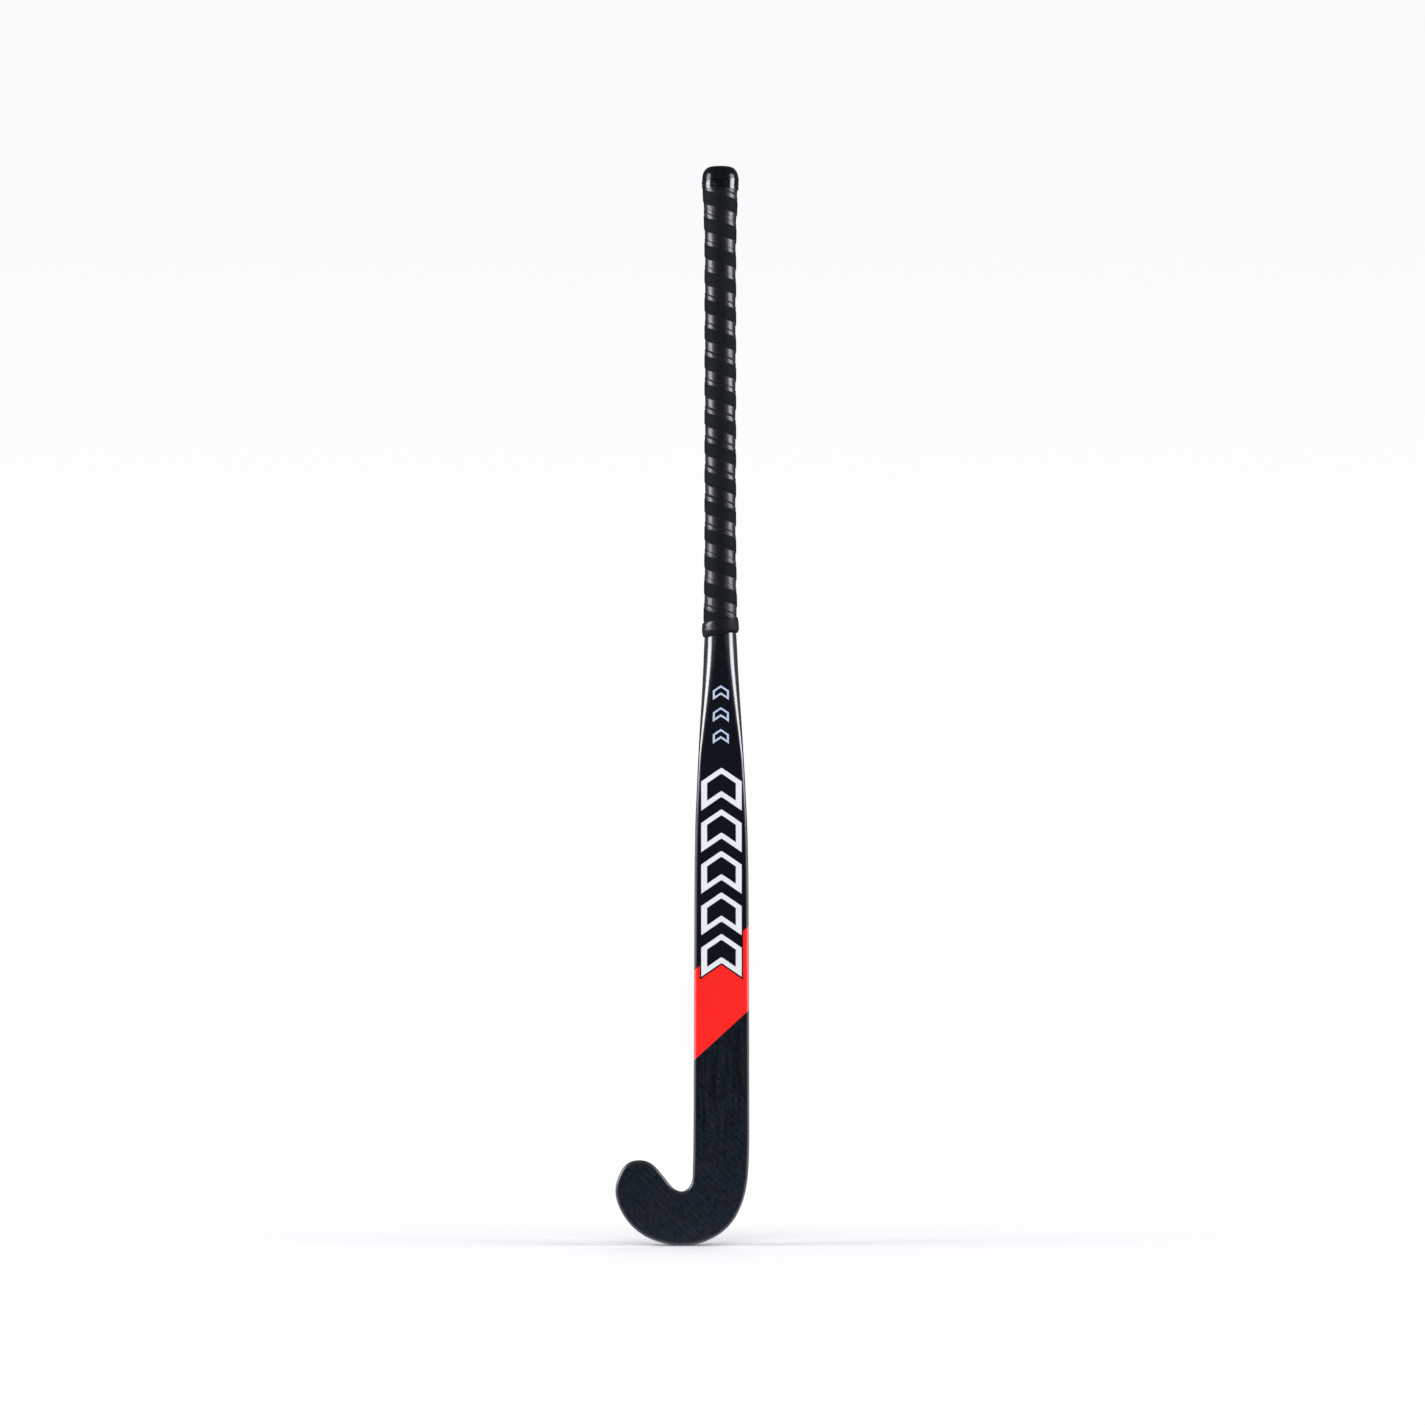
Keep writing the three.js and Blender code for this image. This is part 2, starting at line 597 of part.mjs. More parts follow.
// finishing tape: over the lower end of the grip and on to the bare handle, lower edge tilted
const FINISHING_OUTER = [
  [539.5, 1.95], [538.5, 2.2], [536, 2.6], [533, 2.55], [530, 2.35], [526, 1.9], [524.6, 1.4],
];
const FINISHING_INNER = [
  [539.5, 1.8], [538.5, 1.8], [536, 1.78], [533, 1.75], [529.6, 1.7], [529.4, 0.3],
  [524.6, 0.25],
];
const FINISHING_TILT = [[524.6, 2], [529.4, 0]]; // [z, rise on the heel side]
const finishingRing = ([z, offset]) =>
  Array.from({ length: RING }, (_, k) => {
    const rise = interpolate(FINISHING_TILT, z) * Math.sin((2 * Math.PI * k) / RING);
    return handlePoint(z + rise, k, offset);
  });
add(
  handle,
  "finishing_tape",
  pipeOfRings(FINISHING_OUTER.map(finishingRing), FINISHING_INNER.map(finishingRing)),
  clothTape,
);

// ---------------------------------------------------------------- printed marks on the face
const FILM_BACK = 0.25; // of the film, above the face
const FILM_FRONT = 0.4;
const CHEVRON_COLUMNS = 4; // between the two side strokes
// z is the lower edge of the band at the chevron's point, and the arms fall by drop;
// side and stroke are the widths of the outline at the ends and along the band.
const FACE_MARK = { x: 33.6, z: 242, halfWidth: 17.4, drop: 12, band: 25, side: 5, stroke: 5 };
const FACE_MARKS = { count: 5, pitch: 35.75 };
const NECK_MARK = {
  x: 33.1, z: 435.3, halfWidth: 6.9, drop: 4.8, band: 8, side: 1.7, stroke: 1.9,
};
const NECK_MARKS = { count: 3, pitch: 18.8 };

// y of the front surface of the stick
function frontSurface(x, z) {
  const { mid, toe, edgeRadius } = shaftStation(z);
  const u = Math.min(1, Math.abs(x - mid[0]) / toe.reach);
  return faceY(z) + frontDepth(u, toe.reach, edgeRadius);
}

// sides of a cell: [step to the neighbour, first corner, second corner], as [column, row]
const CELL_SIDES = [
  [[0, -1], [0, 0], [1, 0]],
  [[0, 1], [1, 1], [0, 1]],
  [[-1, 0], [0, 1], [0, 0]],
  [[1, 0], [1, 0], [1, 1]],
];

// An outlined chevron of thin film, point up: a grid of cells with the middle ones left out.
function chevron({ x, z, halfWidth, drop, band, side, stroke }) {
  const inner = halfWidth - side;
  const across = [-halfWidth];
  for (let i = 0; i <= CHEVRON_COLUMNS; i++)
    across.push(-inner + (2 * inner * i) / CHEVRON_COLUMNS);
  across.push(halfWidth);
  const up = [0, stroke, band - stroke, band];
  const columns = across.length - 1;
  const rows = up.length - 1;
  const isFilled = (i, j) => {
    const inGrid = i >= 0 && i < columns && j >= 0 && j < rows;
    const inHole = j === 1 && i > 0 && i < columns - 1;
    return inGrid && !inHole;
  };
  const point = (i, j, lift) => {
    const pointX = x + across[i];
    const pointZ = z - drop * (Math.abs(across[i]) / halfWidth) + up[j];
    return [pointX, frontSurface(pointX, pointZ) - lift, pointZ];
  };
  const film = new Body();
  for (let i = 0; i < columns; i++)
    for (let j = 0; j < rows; j++) {
      if (!isFilled(i, j)) continue;
      const front = ([di, dj]) => point(i + di, j + dj, FILM_FRONT);
      const back = ([di, dj]) => point(i + di, j + dj, FILM_BACK);
      film.quad(front([0, 0]), front([1, 0]), front([1, 1]), front([0, 1]));
      film.quad(back([0, 0]), back([0, 1]), back([1, 1]), back([1, 0]));
      for (const [[di, dj], from, to] of CELL_SIDES)
        if (!isFilled(i + di, j + dj)) film.quad(back(from), back(to), front(to), front(from));
    }
  return film.geometry();
}

function addMarks(name, mark, { count, pitch }, material) {
  for (let i = 0; i < count; i++)
    add(marks, `${name}_${i + 1}`, chevron({ ...mark, z: mark.z + pitch * i }), material);
}
addMarks("face_mark", FACE_MARK, FACE_MARKS, whiteFilm);
addMarks("neck_mark", NECK_MARK, NECK_MARKS, blueFilm);

// ---------------------------------------------------------------- the assembly
const stick = new THREE.Group();
stick.name = "field_hockey_stick";
stick.add(body, handle, marks);

export default stick;
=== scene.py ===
# Field hockey stick, standing on its hook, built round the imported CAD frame.
# z runs up the stick from the floor. The toe is towards -x, the heel towards +x, and the flat
# playing face towards -y. Shapes are worked out in millimetres and written in metres.
import math
from functools import cached_property
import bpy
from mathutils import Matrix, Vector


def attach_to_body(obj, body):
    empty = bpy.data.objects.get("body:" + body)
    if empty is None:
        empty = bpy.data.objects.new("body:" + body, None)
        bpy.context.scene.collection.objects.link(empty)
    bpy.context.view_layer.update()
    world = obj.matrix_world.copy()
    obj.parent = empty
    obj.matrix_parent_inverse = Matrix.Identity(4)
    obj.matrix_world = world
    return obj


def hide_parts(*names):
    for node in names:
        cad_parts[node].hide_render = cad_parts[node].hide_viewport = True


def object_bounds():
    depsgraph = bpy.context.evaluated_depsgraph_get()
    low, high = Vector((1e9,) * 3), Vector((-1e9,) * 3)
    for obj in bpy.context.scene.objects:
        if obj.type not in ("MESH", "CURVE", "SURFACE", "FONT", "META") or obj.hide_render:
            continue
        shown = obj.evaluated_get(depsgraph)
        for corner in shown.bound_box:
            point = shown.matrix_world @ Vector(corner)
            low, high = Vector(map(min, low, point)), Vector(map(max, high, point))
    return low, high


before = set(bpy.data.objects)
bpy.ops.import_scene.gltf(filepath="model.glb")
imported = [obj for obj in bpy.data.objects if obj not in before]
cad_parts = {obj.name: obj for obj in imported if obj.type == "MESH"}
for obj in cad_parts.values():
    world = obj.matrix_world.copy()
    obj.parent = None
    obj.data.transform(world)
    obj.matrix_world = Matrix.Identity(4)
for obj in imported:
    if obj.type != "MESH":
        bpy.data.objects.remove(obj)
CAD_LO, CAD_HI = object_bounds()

from types import SimpleNamespace

import bpy
import numpy as np
from mathutils import Vector

MM = 0.001
TURN = 2 * math.pi

# ------------------------------------------------------------------ driving sizes (mm)
LENGTH = 927.0
# The bow of the face: its y at z = 0, its slope at the foot, and the heights where the straight
# foot ends, where the bow is furthest back, and where the straight handle begins.
FACE_Y = -20.68
BOW_SLOPE, BOW_STRAIGHT, BOW_PEAK, BOW_TOP = 0.1286, 90.0, 260.0, 520.0

WALL = 2.6
SHELL_TOP = 907.0
HOOK_Z = 90.0  # shaft sections end here and hook sections begin
BLEND_Z = 122  # below this the shaft takes its width from the hook's outline
HOOK_EDGE_R = 2.9

GRIP_TOP, GRIP_BOTTOM, GRIP_PITCH = 911.6, 531.0, 24.4
GRIP_SEAM = 812.3  # upper edge of one turn at the middle of the front
FINISH_TOP = 536.9  # upper edge of the finishing tape

# White chevrons: the middle of the lowest one's foot, spacing, half width and drop of the arms.
WHITE_X, WHITE_Z, WHITE_PITCH = 33.6, 242.0, 35.75
WHITE_HALF, WHITE_DROP = 17.4, 12.0

# Middle line of the hook, (x, z), from the shaft round to the toe.
MIDDLE = [
    (33.6, 122), (33.52, 106), (33.45, 90), (33.2, 74), (32.4, 59.5), (30.4, 47.5),
    (26.6, 38.7), (21.6, 32.1), (15.1, 27.2), (8.4, 24.5), (1.1, 23.2), (-6.2, 23.5),
    (-13.4, 25.5), (-20.0, 28.8), (-26.0, 33.5), (-30.8, 39.2), (-34.2, 45.4), (-36.5, 52.6),
]
# Outline of the hook, (x, z), down the toe side, round the toe and up the heel side.
HOOK_EDGE = [
    (9.75, 122), (9.62, 106), (9.5, 90.5), (9.35, 76.5), (9.1, 64.6), (8.35, 55.6), (5.9, 50.0),
    (1.2, 46.6), (-4.3, 47.05), (-9.2, 50.4), (-13.9, 56.1), (-18.9, 62.3), (-24.3, 68.1),
    (-30.6, 71.9), (-37.4, 72.9), (-44.3, 71.6), (-49.9, 67.6), (-53.6, 61.6), (-56.3, 54.6),
    (-57.45, 47.2), (-56.8, 41.0), (-54.4, 33.4), (-50.3, 25.5), (-44.6, 18.1), (-37.6, 11.8),
    (-29.4, 6.75), (-20.3, 3.3), (-10.6, 0.8), (-0.6, 0.0), (9.4, 0.9), (19.1, 3.45),
    (28.2, 7.65), (36.3, 13.3), (43.2, 20.75), (48.5, 29.7), (52.3, 39.2), (54.75, 49.3),
    (56.3, 60.6), (57.1, 73.4), (57.48, 88.5), (57.5, 105), (57.52, 122),
]
# Shaft, (z, half width, x of the middle).
SHAFT = [
    (122, 23.9, 33.6), (176, 23.76, 33.68), (228, 23.64, 33.66), (262, 23.5, 33.68),
    (297, 23.35, 33.66), (331, 23.05, 33.62), (348, 22.72, 33.56), (365, 22.2, 33.46),
    (382, 21.42, 33.38), (400, 20.55, 33.3), (417, 19.7, 33.22), (434, 18.76, 33.16),
    (451, 17.7, 33.1), (468, 16.58, 33.04), (485, 15.6, 32.98), (503, 14.68, 32.9),
    (520, 13.9, 32.82), (530, 13.25, 32.78), (540, 12.72, 32.74), (554, 12.2, 32.7),
    (571, 11.88, 32.66), (600, 11.6, 32.6), (650, 11.5, 32.6), (927, 11.5, 32.6),
]
# Front to back depth of the shaft, (z, depth).
DEPTH = [
    (90, 21.5), (150, 21.1), (200, 21.0), (300, 21.3), (350, 21.7), (390, 22.2), (420, 23.0),
    (450, 24.2), (480, 25.5), (505, 26.4), (523, 26.4), (550, 25.2), (580, 24.6), (620, 24.4),
    (927, 24.4),
]
# Depth of the hook, (distance along its middle line, depth).
HOOK_DEPTH = [(0, 21.5), (25, 22.1), (50, 22.7), (85, 22.7), (115, 21.8), (150, 20.4)]
# Radius between face and back on the shaft, (z, radius).
EDGE_R = [
    (90, 2.9), (340, 3.2), (380, 3.6), (417, 4.1), (434, 6.0), (451, 8.2), (468, 10.2),
    (485, 12.1), (503, 13.7), (520, 14.2), (927, 14.2),
]


# ------------------------------------------------------------------ curves
class Pchip:
    """Smooth, never overshooting curve through a table of (x, y)."""

    def __init__(self, rows):
        x, y = np.array(rows, float).T
        step, slope = np.diff(x), np.diff(y) / np.diff(x)
        tangent = np.zeros(len(x))
        for i in range(1, len(x) - 1):
            if slope[i - 1] * slope[i] > 0:
                w1, w2 = 2 * step[i] + step[i - 1], step[i] + 2 * step[i - 1]
                tangent[i] = (w1 + w2) / (w1 / slope[i - 1] + w2 / slope[i])
        tangent[0], tangent[-1] = slope[0], slope[-1]
        self.x, self.y, self.step, self.tangent = x, y, step, tangent

    def __call__(self, x):
        x = np.clip(np.asarray(x, float), self.x[0], self.x[-1])
        i = np.clip(np.searchsorted(self.x, x) - 1, 0, len(self.step) - 1)
        step = self.step[i]
        t = (x - self.x[i]) / step
        t2, t3 = t * t, t * t * t
        return (
            (2 * t3 - 3 * t2 + 1) * self.y[i] + (t3 - 2 * t2 + t) * step * self.tangent[i]
            + (-2 * t3 + 3 * t2) * self.y[i + 1] + (t3 - t2) * step * self.tangent[i + 1]
        )


class Spline:
    """Natural cubic spline through points in the plane, by chord length."""

    def __init__(self, points):
        p = np.array(points, float)
        chord = np.r_[0, np.cumsum(np.hypot(*np.diff(p, axis=0).T))]
        n, h = len(p), np.diff(chord)
        a = np.eye(n)
        b = np.zeros((n, 2))
        for i in range(1, n - 1):
            a[i, i - 1 : i + 2] = h[i - 1] / 6, (h[i - 1] + h[i]) / 3, h[i] / 6
            b[i] = (p[i + 1] - p[i]) / h[i] - (p[i] - p[i - 1]) / h[i - 1]
        self.points, self.chord, self.step = p, chord, h
        self.bend = np.linalg.solve(a, b)
        self.length = chord[-1]

    def __call__(self, s):
        s = np.asarray(s, float)
        i = np.clip(np.searchsorted(self.chord, s) - 1, 0, len(self.step) - 1)
        h = self.step[i][..., None]
        u = (self.chord[i + 1] - s)[..., None] / h
        v = 1 - u
        bend = (u**3 - u) * self.bend[i] + (v**3 - v) * self.bend[i + 1]
        return u * self.points[i] + v * self.points[i + 1] + bend * h * h / 6


def along_z(rows, column):
    """A column of a table as a smooth function of z."""
    spline = Spline([(row[0], row[column]) for row in rows])
    curve = spline(np.linspace(0, spline.length, 6000))
    return lambda z: np.interp(z, curve[:, 0], curve[:, 1])


half_width, middle_x, depth_at = along_z(SHAFT, 1), along_z(SHAFT, 2), along_z(DEPTH, 1)
edge_r_table, hook_depth = Pchip(EDGE_R), Pchip(HOOK_DEPTH)


def edge_r(z):
    return np.minimum(edge_r_table(z), half_width(z))


def face_y(z):
    """y of the face: straight foot, two parabolas through the bow, straight handle."""
    z = np.asarray(z, float)
    lower, upper = BOW_PEAK - BOW_STRAIGHT, BOW_TOP - BOW_PEAK
    foot = BOW_SLOPE * BOW_STRAIGHT
    peak = foot + BOW_SLOPE * lower / 2
    top_slope = -peak / (LENGTH - BOW_TOP + upper / 2)
    rise, past = z - BOW_STRAIGHT, z - BOW_PEAK
    bow = np.select(
        [z <= BOW_STRAIGHT, z <= BOW_PEAK, z <= BOW_TOP],
        [
            BOW_SLOPE * z,
            foot + BOW_SLOPE * rise - BOW_SLOPE * rise * rise / (2 * lower),
            peak + top_slope * past * past / (2 * upper),
        ],
        peak + top_slope * upper / 2 + top_slope * (z - BOW_TOP),
    )
    return FACE_Y + bow


def back_power(z):
    """Power of the back's superellipse: 2 on the handle, squarer lower down."""
    return 2 + 0.4 * np.clip((505 - np.asarray(z, float)) / 85, 0, 1)


def edge_drop(inward, r):
    """How far the rounded edge lies behind the face, by the distance in from the side."""
    return np.where(inward < r, r - np.sqrt(np.maximum(0, r * r - (r - inward) ** 2)), 0.0)


# ------------------------------------------------------------------ sections of the shell
# A section is cut in two halves, or spokes, which run from the middle line to the outline.
FRONT_STEPS, BACK_STEPS = 24, 26

hook_line = Spline(HOOK_EDGE)
outline = hook_line(np.arange(0, hook_line.length, 0.12))
toe_side = outline[: int(np.argmax(outline[:, 1] < 52))][::-1]
heel_side = outline[int(np.argmin(outline[:, 1])) :]

middle = Spline(MIDDLE)
_along = np.linspace(0, middle.length, 20000)
HOOK_START = float(_along[np.argmax(middle(_along)[:, 1] <= HOOK_Z)])
HOOK_LEN = middle.length - HOOK_START


def reach(origin, direction):
    """Distance from origin to the hook's outline."""
    edge = outline[1:] - outline[:-1]
    det = -direction[0] * edge[:, 1] + direction[1] * edge[:, 0]
    det = np.where(np.abs(det) < 1e-12, 1e-12, det)
    gap = outline[:-1] - origin
    distance = (-gap[:, 0] * edge[:, 1] + gap[:, 1] * edge[:, 0]) / det
    along = (direction[0] * gap[:, 1] - direction[1] * gap[:, 0]) / det
    crossed = (along >= -1e-6) & (along <= 1 + 1e-6) & (distance > 0.5)
    return float(distance[crossed].min())


def shaft_station(z):
    x = float(middle_x(z))
    toe_reach = heel_reach = float(half_width(z))
    if z < BLEND_Z:  # so that shaft and hook meet without a step
        x = float(np.interp(z, [90, 106, 122], [33.45, 33.52, 33.6]))
        toe_reach = x - float(np.interp(z, toe_side[:, 1], toe_side[:, 0]))
        heel_reach = float(np.interp(z, heel_side[:, 1], heel_side[:, 0])) - x
    return SimpleNamespace(
        middle=np.array([x, z]), toe=np.array([-1.0, 0]), heel=np.array([1.0, 0]),
        toe_reach=toe_reach, heel_reach=heel_reach, depth=float(depth_at(z)),
        edge_r=float(edge_r(z)), power=float(back_power(z)), wrap_v=z,
    )


def hook_station(s):
    here = HOOK_START + s
    origin = middle(here)
    before, after = middle(here - 0.05), middle(min(middle.length, here + 0.05))
    forward = (after - before) / np.linalg.norm(after - before)
    toe, heel = np.array([forward[1], -forward[0]]), np.array([-forward[1], forward[0]])
    return SimpleNamespace(
        middle=origin, toe=toe, heel=heel, forward=forward,
        toe_reach=reach(origin, toe), heel_reach=reach(origin, heel),
        depth=float(hook_depth(s)), edge_r=HOOK_EDGE_R, power=2.4, wrap_v=HOOK_Z - s,
    )


def half_section(station, direction, distance, inset):
    """Points from the middle of the face, over the edge, to the middle of the back, and the
    distance walked."""
    width, depth = distance - inset, station.depth - 2 * inset
    r = min(max(station.edge_r - inset, 0.5), width)
    flat = width - r
    round_r = r + 6.0  # steps crowd towards the edge as if its radius were this
    walk = np.linspace(0, flat + round_r * math.pi / 2, FRONT_STEPS + 1)
    angle = np.clip((walk - flat) / round_r, 0, math.pi / 2)
    front_out = np.where(walk <= flat, walk, flat + r * np.sin(angle))
    front_y = np.where(walk <= flat, 0.0, r * (1 - np.cos(angle)))
    psi = np.linspace(math.pi / 2, 0, BACK_STEPS + 1)[1:]
    back_out = width * np.sin(psi) ** (2 / station.power)
    back_y = r + (depth - r) * np.cos(psi) ** (2 / station.power)
    back_out[-1] = 0.0
    out, y = np.r_[front_out, back_out], np.r_[front_y, back_y]
    xz = station.middle + out[:, None] * direction
    points = np.stack([xz[:, 0], face_y(xz[:, 1]) + inset + y, xz[:, 1]], 1)
    walked = np.r_[0, np.cumsum(np.hypot(np.diff(out), np.diff(y)))]
    return points, walked


def spoke_rows(stations, inset, fan):
    """Half sections down the toe side, in a fan round the tip, and up the heel side."""
    last = stations[-1]
    # station, direction, distance to the outline, direction on the wrap map
    spokes = [(s, s.toe, s.toe_reach, (-1, 0)) for s in stations]
    for i in range(1, fan):
        cos, sin = math.cos(math.pi * i / fan), math.sin(math.pi * i / fan)
        direction = last.toe * cos + last.forward * sin
        spokes.append((last, direction, reach(last.middle, direction), (-cos, -sin)))
    spokes += [(s, s.heel, s.heel_reach, (1, 0)) for s in stations[::-1]]
    rows, uvs = [], []
    for station, direction, distance, (du, dv) in spokes:
        points, walked = half_section(station, direction, distance, inset)
        rows.append(points)
        uvs.append(np.stack([du * walked, station.wrap_v + dv * walked], -1))
    return np.array(rows), np.array(uvs)


# ------------------------------------------------------------------ meshes
class Sheet:
    """Collects grids of quads, welds equal points, and makes one closed mesh object."""

    def __init__(self):
        self.points, self.quads, self.uvs, self.slots = [], [], [], []
        self.count = 0

    def grid(self, points, uv=None, flip=False, slot=0, wrap=False):
        """points[i, j], with quads between neighbours; wrap joins the last column to the first."""
        rows, columns = points.shape[:2]
        ids = self.count + np.arange(rows * columns).reshape(rows, columns)
        self.points.append(points.reshape(-1, 3))
        self.count += rows * columns
        if uv is None:
            uv = np.zeros((rows, columns, 2))
        if wrap:
            full_turn = (uv[:, -1:] - uv[:, :1]) * (columns / (columns - 1))
            ids = np.concatenate([ids, ids[:, :1]], 1)
            uv = np.concatenate([uv, uv[:, :1] + full_turn], 1)

        def corners(a):
            return a[:-1, :-1], a[1:, :-1], a[1:, 1:], a[:-1, 1:]

        quads = np.stack(corners(ids), -1).reshape(-1, 4)
        quad_uvs = np.stack(corners(uv), -2).reshape(-1, 4, 2)
        if flip:
            quads, quad_uvs = quads[:, ::-1], quad_uvs[:, ::-1]
        self.quads.append(quads)
        self.uvs.append(quad_uvs)
        self.slots.append(np.full(len(quads), slot, int))

    def build(self, name, materials, angle, weld=1e-4):
        points = np.concatenate(self.points)
        key = np.round(points / weld).astype(np.int64)
        _, first, place = np.unique(key, axis=0, return_index=True, return_inverse=True)
        quads = place.ravel()[np.concatenate(self.quads)]
        faces, uvs, slots = [], [], []
        for quad, uv, slot in zip(quads, np.concatenate(self.uvs), np.concatenate(self.slots)):
            keep = [i for i in range(4) if quad[i] != quad[(i + 1) % 4]]
            if len(keep) >= 3 and len({quad[i] for i in keep}) == len(keep):
                faces.append([int(quad[i]) for i in keep])
                uvs.append(uv[keep])
                slots.append(slot)
        return make_object(name, points[first], faces, uvs, slots, materials, angle)


def make_object(name, points, faces, uvs, slots, materials, angle):
    """A mesh object with outward faces, smooth but for edges sharper than angle (degrees)."""
    triangles = np.array([(f[0], f[k], f[k + 1]) for f in faces for k in range(1, len(f) - 1)])
    a, b, c = (points[triangles[:, k]] for k in range(3))
    if np.einsum("ij,ij->i", a, np.cross(b, c)).sum() < 0:
        faces = [face[::-1] for face in faces]
        uvs = [uv[::-1] for uv in uvs]
    mesh = bpy.data.meshes.new(name)
    mesh.from_pydata((points * MM).tolist(), [], faces)
    layer = mesh.uv_layers.new(name="wrap")
    layer.data.foreach_set("uv", np.concatenate(uvs).astype(np.float32).ravel())
    mesh.polygons.foreach_set("material_index", np.array(slots, np.int32))
    mesh.polygons.foreach_set("use_smooth", np.ones(len(faces), bool))
    for material in materials:
        mesh.materials.append(material)
    mesh.update()
    mesh.validate()
    ob = bpy.data.objects.new(name, mesh)
    bpy.context.scene.collection.objects.link(ob)
    bpy.context.view_layer.objects.active = ob
    ob.select_set(True)
    bpy.ops.object.shade_smooth_by_angle(angle=math.radians(angle))
    ob.select_set(False)
    return ob


def attach(ob, node):
    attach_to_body(ob, "root")
    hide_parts(node)


def close_ends(points, uv):
    """Adds a first and a last row drawn together to one point."""
    first, last = (np.broadcast_to(r.mean(0), r.shape)[None] for r in (points[0], points[-1]))
    return np.concatenate([first, points, last]), np.concatenate([uv[:1], uv, uv[-1:]])


# ------------------------------------------------------------------ shader nodes
class Tree:
    """Shader nodes written as calls."""

    def __init__(self, owner, clear=True):
        owner.use_nodes = True
        self.tree = owner.node_tree
        if clear:
            self.tree.nodes.clear()

    def put(self, node, key, value):
        socket = node.inputs[key]
        if isinstance(value, bpy.types.NodeSocket):
            self.tree.links.new(value, socket)
        else:
            if socket.type == "RGBA" and len(value) == 3:
                value = (*value, 1.0)
            socket.default_value = value

    def node(self, kind, inputs=None, **settings):
        node = self.tree.nodes.new("ShaderNode" + kind)
        for name, value in settings.items():
            setattr(node, name, value)
        for key, value in (inputs or {}).items():
            self.put(node, key, value)
        return node

    def remap(self, x, to=(0.0, 1.0), over=(0.3, 0.7), smooth=False):
        """Carries the range over to the range to. Noise mostly lies in the default range."""
        return self.node(
            "MapRange", {0: x, 1: over[0], 2: over[1], 3: to[0], 4: to[1]},
            interpolation_type="SMOOTHSTEP" if smooth else "LINEAR",
        ).outputs[0]

    def mix(self, factor, a, b):
        """Colour mix."""
        return self.node("Mix", {0: factor, 6: a, 7: b}, data_type="RGBA").outputs[2]

    def length(self, vector):
        return self.node("VectorMath", {0: vector}, operation="LENGTH").outputs["Value"]

    def scaled(self, vector, scale):
        return self.node("Mapping", {0: vector, "Scale": scale}).outputs[0]


class Material(Tree):
    """A Principled material; x, y and z are the object's own coordinates in mm."""

    def __init__(self, name):
        self.material = bpy.data.materials.new(name)
        super().__init__(self.material)
        self.principled = self.node("BsdfPrincipled")
        self.node("OutputMaterial", {0: self.principled.outputs[0]})
        self.place = self.node("TexCoord").outputs["Object"]

    def set(self, key, value):
        self.put(self.principled, key, value)

    def math(self, operation, a, b=0.0, c=0.0):
        return self.node("Math", {0: a, 1: b, 2: c}, operation=operation).outputs[0]

    def add(self, a, b):
        return self.math("ADD", a, b)

    def sub(self, a, b):
        return self.math("SUBTRACT", a, b)

    def mul(self, a, b):
        return self.math("MULTIPLY", a, b)

    def inverse(self, a):
        return self.sub(1.0, a)

    @cached_property
    def axes(self):
        return self.node("SeparateXYZ", {0: self.place}).outputs

    @cached_property
    def x(self):
        return self.mul(self.axes[0], 1000.0)

    @cached_property
    def y(self):
        return self.mul(self.axes[1], 1000.0)

    @cached_property
    def z(self):
        return self.mul(self.axes[2], 1000.0)

    @cached_property
    def wrap(self):
        """The wrap map's u and v, in mm."""
        uv = self.node("UVMap", uv_map="wrap").outputs[0]
        return self.node("SeparateXYZ", {0: uv}).outputs

    def lerp(self, factor, a, b):
        """Mix of two plain values."""
        return self.node("Mix", {0: factor, 2: a, 3: b}, data_type="FLOAT").outputs[0]

    def step(self, x, edge, soft):
        """0 below edge, 1 above it, over soft."""
        return self.remap(x, over=(edge - soft / 2, edge + soft / 2), smooth=True)

    def below(self, x, edge, soft):
        return self.inverse(self.step(x, edge, soft))

    def noise(self, scale, detail=3.0, rough=0.55, stretch=None, distortion=0.0):
        """scale in features per metre."""
        vector = self.scaled(self.place, stretch) if stretch else self.place
        inputs = {"Vector": vector, "Scale": scale, "Detail": detail, "Roughness": rough,
                  "Distortion": distortion}
        return self.node("TexNoise", inputs).outputs["Fac"]

    def jitter(self, amount, **noise):
        """Noise about zero."""
        return self.mul(self.sub(self.noise(**noise), 0.5), amount)

    def blotch(self, noise, first, second):
        """Two colours shared out by noise."""
        return self.mix(self.remap(noise), first, second)

    def bump(self, height, strength, depth):
        inputs = {"Strength": strength, "Distance": depth, "Height": height}
        return self.node("Bump", inputs).outputs[0]

    def front(self):
        """1 where the surface faces -y, falling to -1 at the back."""
        normal = self.node("NewGeometry").outputs["Normal"]
        return self.mul(self.node("SeparateXYZ", {0: normal}).outputs[1], -1.0)

    def diagonals(self, a, b, density):
        return self.mul(self.add(a, b), density), self.mul(self.sub(a, b), density)

    def cells(self, a, b, count):
        """Numbers the unit cells diagonally, 0 to count - 1."""
        total = self.add(self.math("FLOOR", a), self.math("FLOOR", b))
        return self.math("FLOORED_MODULO", total, count)

    def arch(self, a):
        """Height of a tow across its own width, one tow to each unit of a."""
        return self.math("SINE", self.mul(self.math("FRACT", a), math.pi))

    def twill(self, pitch, flat):
        """Woven tows on the wrap map: which tow is on top (0 or 1), and the height of the weave.
        Where flat is 1 the tows follow x and z instead, and keep straight."""
        u, v = self.lerp(flat, self.wrap[0], self.x), self.lerp(flat, self.wrap[1], self.z)
        a, b = self.mul(u, 1 / pitch), self.mul(v, 1 / pitch)
        top = self.math("LESS_THAN", self.cells(a, b, 4.0), 1.5)
        arch_a, arch_b = self.arch(a), self.arch(b)
        # each tow dips where it passes under the next
        over_a = self.mul(arch_a, self.math("SQRT", arch_b))
        over_b = self.mul(arch_b, self.math("SQRT", arch_a))
        return top, self.lerp(top, over_a, over_b)


